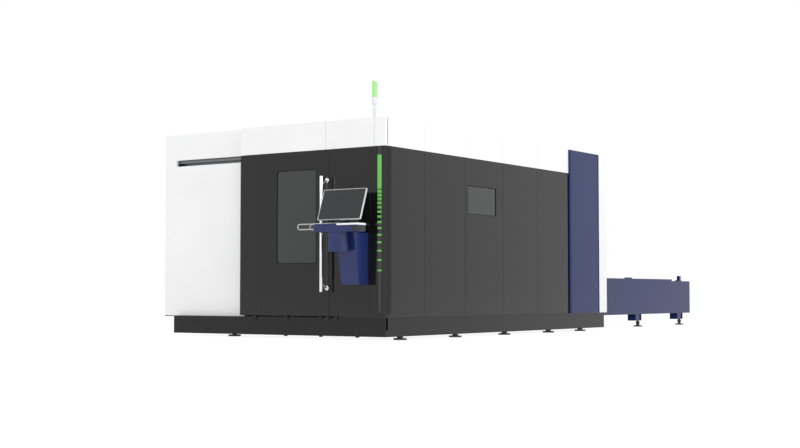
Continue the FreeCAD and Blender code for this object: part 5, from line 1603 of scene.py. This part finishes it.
def make_head_fittings():
    """Collars on the barrel, and the drawer of the protective window."""
    nozzle_low, nozzle_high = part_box("nozzle")
    head_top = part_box("cutting_head")[1].z
    x, y = (nozzle_low.x + nozzle_high.x) / 2, (nozzle_low.y + nozzle_high.y) / 2
    bore, rim = BARREL_RADIUS - 2 * MM, BARREL_RADIUS + 5 * MM
    shape = bmesh.new()
    for height in COLLAR_HEIGHTS:
        lathe(shape, Vector((x, y, nozzle_high.z + height)), [
            (bore, 0.0), (rim - 1 * MM, 0.0), (rim, 1 * MM), (rim, COLLAR_TALL - 1 * MM),
            (rim - 1 * MM, COLLAR_TALL), (bore, COLLAR_TALL), (bore, 0.0)], UP, 40)
    finished(shape, "head_collars", light_metal, "head")

    drawer = nozzle_high.z + DRAWER_HEIGHT
    barrel_y = y + BARREL_RADIUS
    knob_z = drawer + DRAWER_SIZE / 2
    shape = bmesh.new()
    block(shape, (x - DRAWER_SIZE, barrel_y - 6 * MM, drawer),
          (x + DRAWER_SIZE, barrel_y + 10 * MM, drawer + DRAWER_SIZE), 3 * MM)
    rod(shape, (x, barrel_y + 9 * MM, knob_z), (x, barrel_y + 22 * MM, knob_z), 8 * MM, 20, 1.5 * MM)
    for side in (-1, 1):
        foot = Vector((x + side * 30 * MM, y, head_top - 0.5 * MM))
        rod(shape, foot, foot + UP * 10 * MM, 9 * MM, 6, 1 * MM)
        rod(shape, foot + UP * 9 * MM, foot + UP * 26 * MM, 6 * MM, 16, 1 * MM)
    finished(shape, "head_drawer", dark_hardware, "head")


make_head_fittings()

# %% [markdown]
# ## Roof
#
# The enclosure is lowered onto its bed by a crane, so its roof has four lifting eyes. An eye is a ring on a
# plate: a small circle, spun once round.

# %% Lifting eyes
EYE_FROM_SIDE = 260 * MM
EYE_FROM_FRONT = 420 * MM
EYE_FROM_REAR = 520 * MM
EYE_HEIGHT = 32 * MM
EYE_RADIUS = 22 * MM


def make_lifting_eyes():
    """Four lifting eyes near the corners of the roof."""
    low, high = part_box("roof_panels")
    shape = bmesh.new()
    for x in (low.x + EYE_FROM_SIDE, high.x - EYE_FROM_SIDE):
        for y in (low.y + EYE_FROM_FRONT, high.y - EYE_FROM_REAR):
            foot = Vector((x, y, high.z - 0.4 * MM))
            block(shape, foot + Vector((-45, -30, 0)) * MM, foot + Vector((45, 30, 8)) * MM, 2 * MM)
            middle_of_ring = foot + UP * EYE_HEIGHT
            made = bmesh.ops.create_circle(shape, cap_ends=False, segments=12, radius=6 * MM)["verts"]
            bmesh.ops.rotate(shape, verts=made, matrix=Matrix.Rotation(math.radians(90.0), 3, "X"))
            bmesh.ops.translate(shape, verts=made, vec=middle_of_ring + RIGHT * EYE_RADIUS)
            bmesh.ops.spin(shape, geom=made + edges_of(made), cent=middle_of_ring, axis=REAR,
                           angle=math.tau, steps=28, use_merge=True)
            for side in (-1, 1):
                screw(shape, foot + Vector((side * 34, 0, 8)) * MM, 5 * MM)
    finished(shape, "lifting_eyes", dark_hardware, "machine")


make_lifting_eyes()

# %% [markdown]
# ## Locks of the left side
#
# The white panels of the left side come off for service. Each is held by quarter-turn locks: a turned flat
# disc with a dished middle, and a bar across it that a key grips.

# %% Locks of the left panels
LOCK_RADIUS = 14 * MM
LOCK_FROM_END = 70 * MM
LOCK_SHARES = (0.14, 0.86)


def make_locks():
    """Two quarter-turn locks at the foot and at the top of every left panel."""
    shape = bmesh.new()
    for low, high in solids("left_wall_panels"):
        for share in LOCK_SHARES:
            y = low.y + (high.y - low.y) * share
            for z in (low.z + LOCK_FROM_END, high.z - LOCK_FROM_END):
                lathe(shape, Vector((low.x + 0.3 * MM, y, z)), [
                    (0.0, 0.0), (LOCK_RADIUS, 0.0), (LOCK_RADIUS, 1.6 * MM), (13 * MM, 2.4 * MM),
                    (8 * MM, 2.4 * MM), (7 * MM, 1.5 * MM), (0.0, 1.5 * MM)], LEFT, 24)
                block(shape, (low.x - 2.2 * MM, y - 6.5 * MM, z - 1.4 * MM),
                      (low.x - 0.6 * MM, y + 6.5 * MM, z + 1.4 * MM), 0.5 * MM, 1)
    finished(shape, "panel_locks", dark_hardware, "machine")


make_locks()

# %% [markdown]
# ## Rear gate
#
# The gate is one thin sheet, so it is stiffened by pressed ribs, which are low blocks with a large radius. A
# bow handle near its foot lifts it by hand when the power is off.

# %% Ribs and handle of the gate
GATE_RIB_SHARES = (0.22, 0.42, 0.62)
GATE_RIB_INSET = 90 * MM
GATE_HANDLE_UP = 38 * MM
GATE_HANDLE_HALF = 75 * MM
GATE_HANDLE_RADIUS = 5 * MM


def make_gate_fittings():
    """Pressed ribs and a bow handle on the outside of the rear gate."""
    low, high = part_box("rear_gate")
    shape = bmesh.new()
    for share in GATE_RIB_SHARES:
        level = low.z + (high.z - low.z) * share
        block(shape, (low.x + GATE_RIB_INSET, high.y - 4 * MM, level - 12 * MM),
              (high.x - GATE_RIB_INSET, high.y + 3.5 * MM, level + 12 * MM), 3.2 * MM, 3)
    finished(shape, "gate_ribs", dark_paint, "gate")

    shape = bmesh.new()
    middle_x = (low.x + high.x) / 2
    level = low.z + GATE_HANDLE_UP
    for x in (middle_x - GATE_HANDLE_HALF, middle_x + GATE_HANDLE_HALF):
        rod(shape, (x, high.y - 2 * MM, level), (x, high.y + 11 * MM, level), GATE_HANDLE_RADIUS, 16)
    reach = GATE_HANDLE_HALF + 7 * MM
    bow_y = high.y + 9 * MM
    rod(shape, (middle_x - reach, bow_y, level), (middle_x + reach, bow_y, level), GATE_HANDLE_RADIUS, 16,
        1 * MM)
    finished(shape, "gate_handle", stainless, "gate")


make_gate_fittings()

# %% [markdown]
# ## Dust outlet
#
# A hose of the dust extractor is pushed over the round outlet and held by a band clamp. The band is turned on
# the lathe, and its screw is two rods through a small block.

# %% Clamp of the outlet
OUTLET_RADIUS = 100 * MM
BAND_WIDE = 14 * MM
BAND_FROM_END = 46 * MM


def make_outlet_clamp():
    """A band clamp with its screw round the dust outlet."""
    low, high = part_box("extraction_duct")
    foot = Vector(((low.x + high.x) / 2, high.y - BAND_FROM_END, low.z + OUTLET_RADIUS))
    inner, outer = OUTLET_RADIUS - 1 * MM, OUTLET_RADIUS + 2 * MM
    crown = outer + 0.6 * MM
    shape = bmesh.new()
    lathe(shape, foot, [
        (inner, 0.0), (outer, 0.0), (crown, 1 * MM), (crown, BAND_WIDE - 1 * MM), (outer, BAND_WIDE),
        (inner, BAND_WIDE), (inner, 0.0)], REAR, 56)
    top = foot + UP * (OUTLET_RADIUS + 7 * MM)
    block(shape, top + Vector((-16, 0, -6)) * MM, top + Vector((16, 14, 5)) * MM, 1.5 * MM)
    rod(shape, top + Vector((-22, 7, 0)) * MM, top + Vector((24, 7, 0)) * MM, 3.2 * MM, 12, 0.8 * MM)
    rod(shape, top + Vector((22, 7, 0)) * MM, top + Vector((29, 7, 0)) * MM, 6 * MM, 6, 0.8 * MM)
    finished(shape, "outlet_clamp", stainless, "machine")


make_outlet_clamp()

# %% [markdown]
# ## The floor and the light
#
# The machine was photographed against pure white. A white room does most of the lighting. Four soft square
# lamps give form: a key from high on the right, a fill from the left, and two weak ones at eye level that
# show as highlights in the glossy coat, one in front of the rounded post and one along the side. The floor is
# a plain pale plane. For the camera and for mirror images part of it glows white, so it melts into the
# backdrop and still keeps a soft shadow under the machine.

# %% Floor
FLOOR_SIZE = 160.0
FLOOR_GLOW_SHARE = 0.84
FLOOR_GLOW = 1.1
WHITE = (1.0, 1.0, 1.0, 1.0)
FLOOR_PALE = (0.84, 0.84, 0.84)
FLOOR_PALER = (0.86, 0.86, 0.86)


def seen_directly(tree):
    """1 for what the camera, a mirror image or a view through glass sees, 0 for what lights the object."""
    path = add(tree, "LightPath")
    either = math_node(tree, "ADD", path.outputs["Is Camera Ray"], path.outputs["Is Glossy Ray"])
    return math_node(tree, "ADD", either, path.outputs["Is Transmission Ray"])


def make_floor():
    """A large pale plane at the height of the feet."""
    material, tree, shader = new_material("pale_floor")
    grain = add(tree, "TexNoise", Vector=stretched(tree, (1.0, 1.0, 1.0)), Scale=3.0, Detail=3.0)
    tree.links.new(mixed(tree, grain.outputs["Fac"], FLOOR_PALE, FLOOR_PALER), shader.inputs["Base Color"])
    shader.inputs["Roughness"].default_value = 0.9
    shader.inputs["Specular IOR Level"].default_value = 0.0
    glow = add(tree, "Emission", Color=WHITE, Strength=FLOOR_GLOW)
    share = math_node(tree, "MULTIPLY", seen_directly(tree), FLOOR_GLOW_SHARE)
    blend = tree.nodes.new("ShaderNodeMixShader")
    tree.links.new(share, blend.inputs[0])
    tree.links.new(shader.outputs["BSDF"], blend.inputs[1])
    tree.links.new(glow.outputs["Emission"], blend.inputs[2])
    tree.links.new(blend.outputs["Shader"], tree.nodes["Material Output"].inputs["Surface"])

    mesh = bpy.data.meshes.new("floor")
    plane = bmesh.new()
    bmesh.ops.create_grid(plane, x_segments=1, y_segments=1, size=FLOOR_SIZE / 2)
    plane.to_mesh(mesh)
    plane.free()
    mesh.materials.append(material)
    floor = bpy.data.objects.new("floor", mesh)
    bpy.context.scene.collection.objects.link(floor)


make_floor()

# %% [markdown]
# Each lamp is one line of a table: its name, its place from the middle of the machine in metres, its power in
# watts and the length of its side in metres. Every lamp faces the middle of the machine.

# %% Room and lamps
ROOM_LIGHT = 0.95
LAMPS = (
    ("key", (17.0, -7.0, 10.5), 1350.0, 7.0),
    ("front", (3.0, -18.0, 1.3), 155.0, 7.0),
    ("side", (13.7, -11.2, 1.7), 110.0, 12.0),
    ("fill", (-13.0, -11.0, 8.0), 300.0, 7.0),
)


def make_room():
    """White all round: full white where it is seen, a little less where it lights."""
    world = bpy.data.worlds.new("room")
    world.use_nodes = True
    tree = world.node_tree
    background = tree.nodes["Background"]
    background.inputs["Color"].default_value = WHITE
    level = between(tree, seen_directly(tree), ROOM_LIGHT, 1.0)
    tree.links.new(level, background.inputs["Strength"])
    bpy.context.scene.world = world


def make_lamp(name, offset, power, size):
    """A square soft lamp that faces the middle of the machine."""
    lamp = bpy.data.lights.new(name, "AREA")
    lamp.energy = power
    lamp.size = size
    item = bpy.data.objects.new(name, lamp)
    item.location = middle + Vector(offset)
    item.rotation_euler = (-Vector(offset)).to_track_quat("-Z", "Y").to_euler()
    bpy.context.scene.collection.objects.link(item)


make_room()
for lamp_name, lamp_offset, lamp_power, lamp_size in LAMPS:
    make_lamp(lamp_name, lamp_offset, lamp_power, lamp_size)
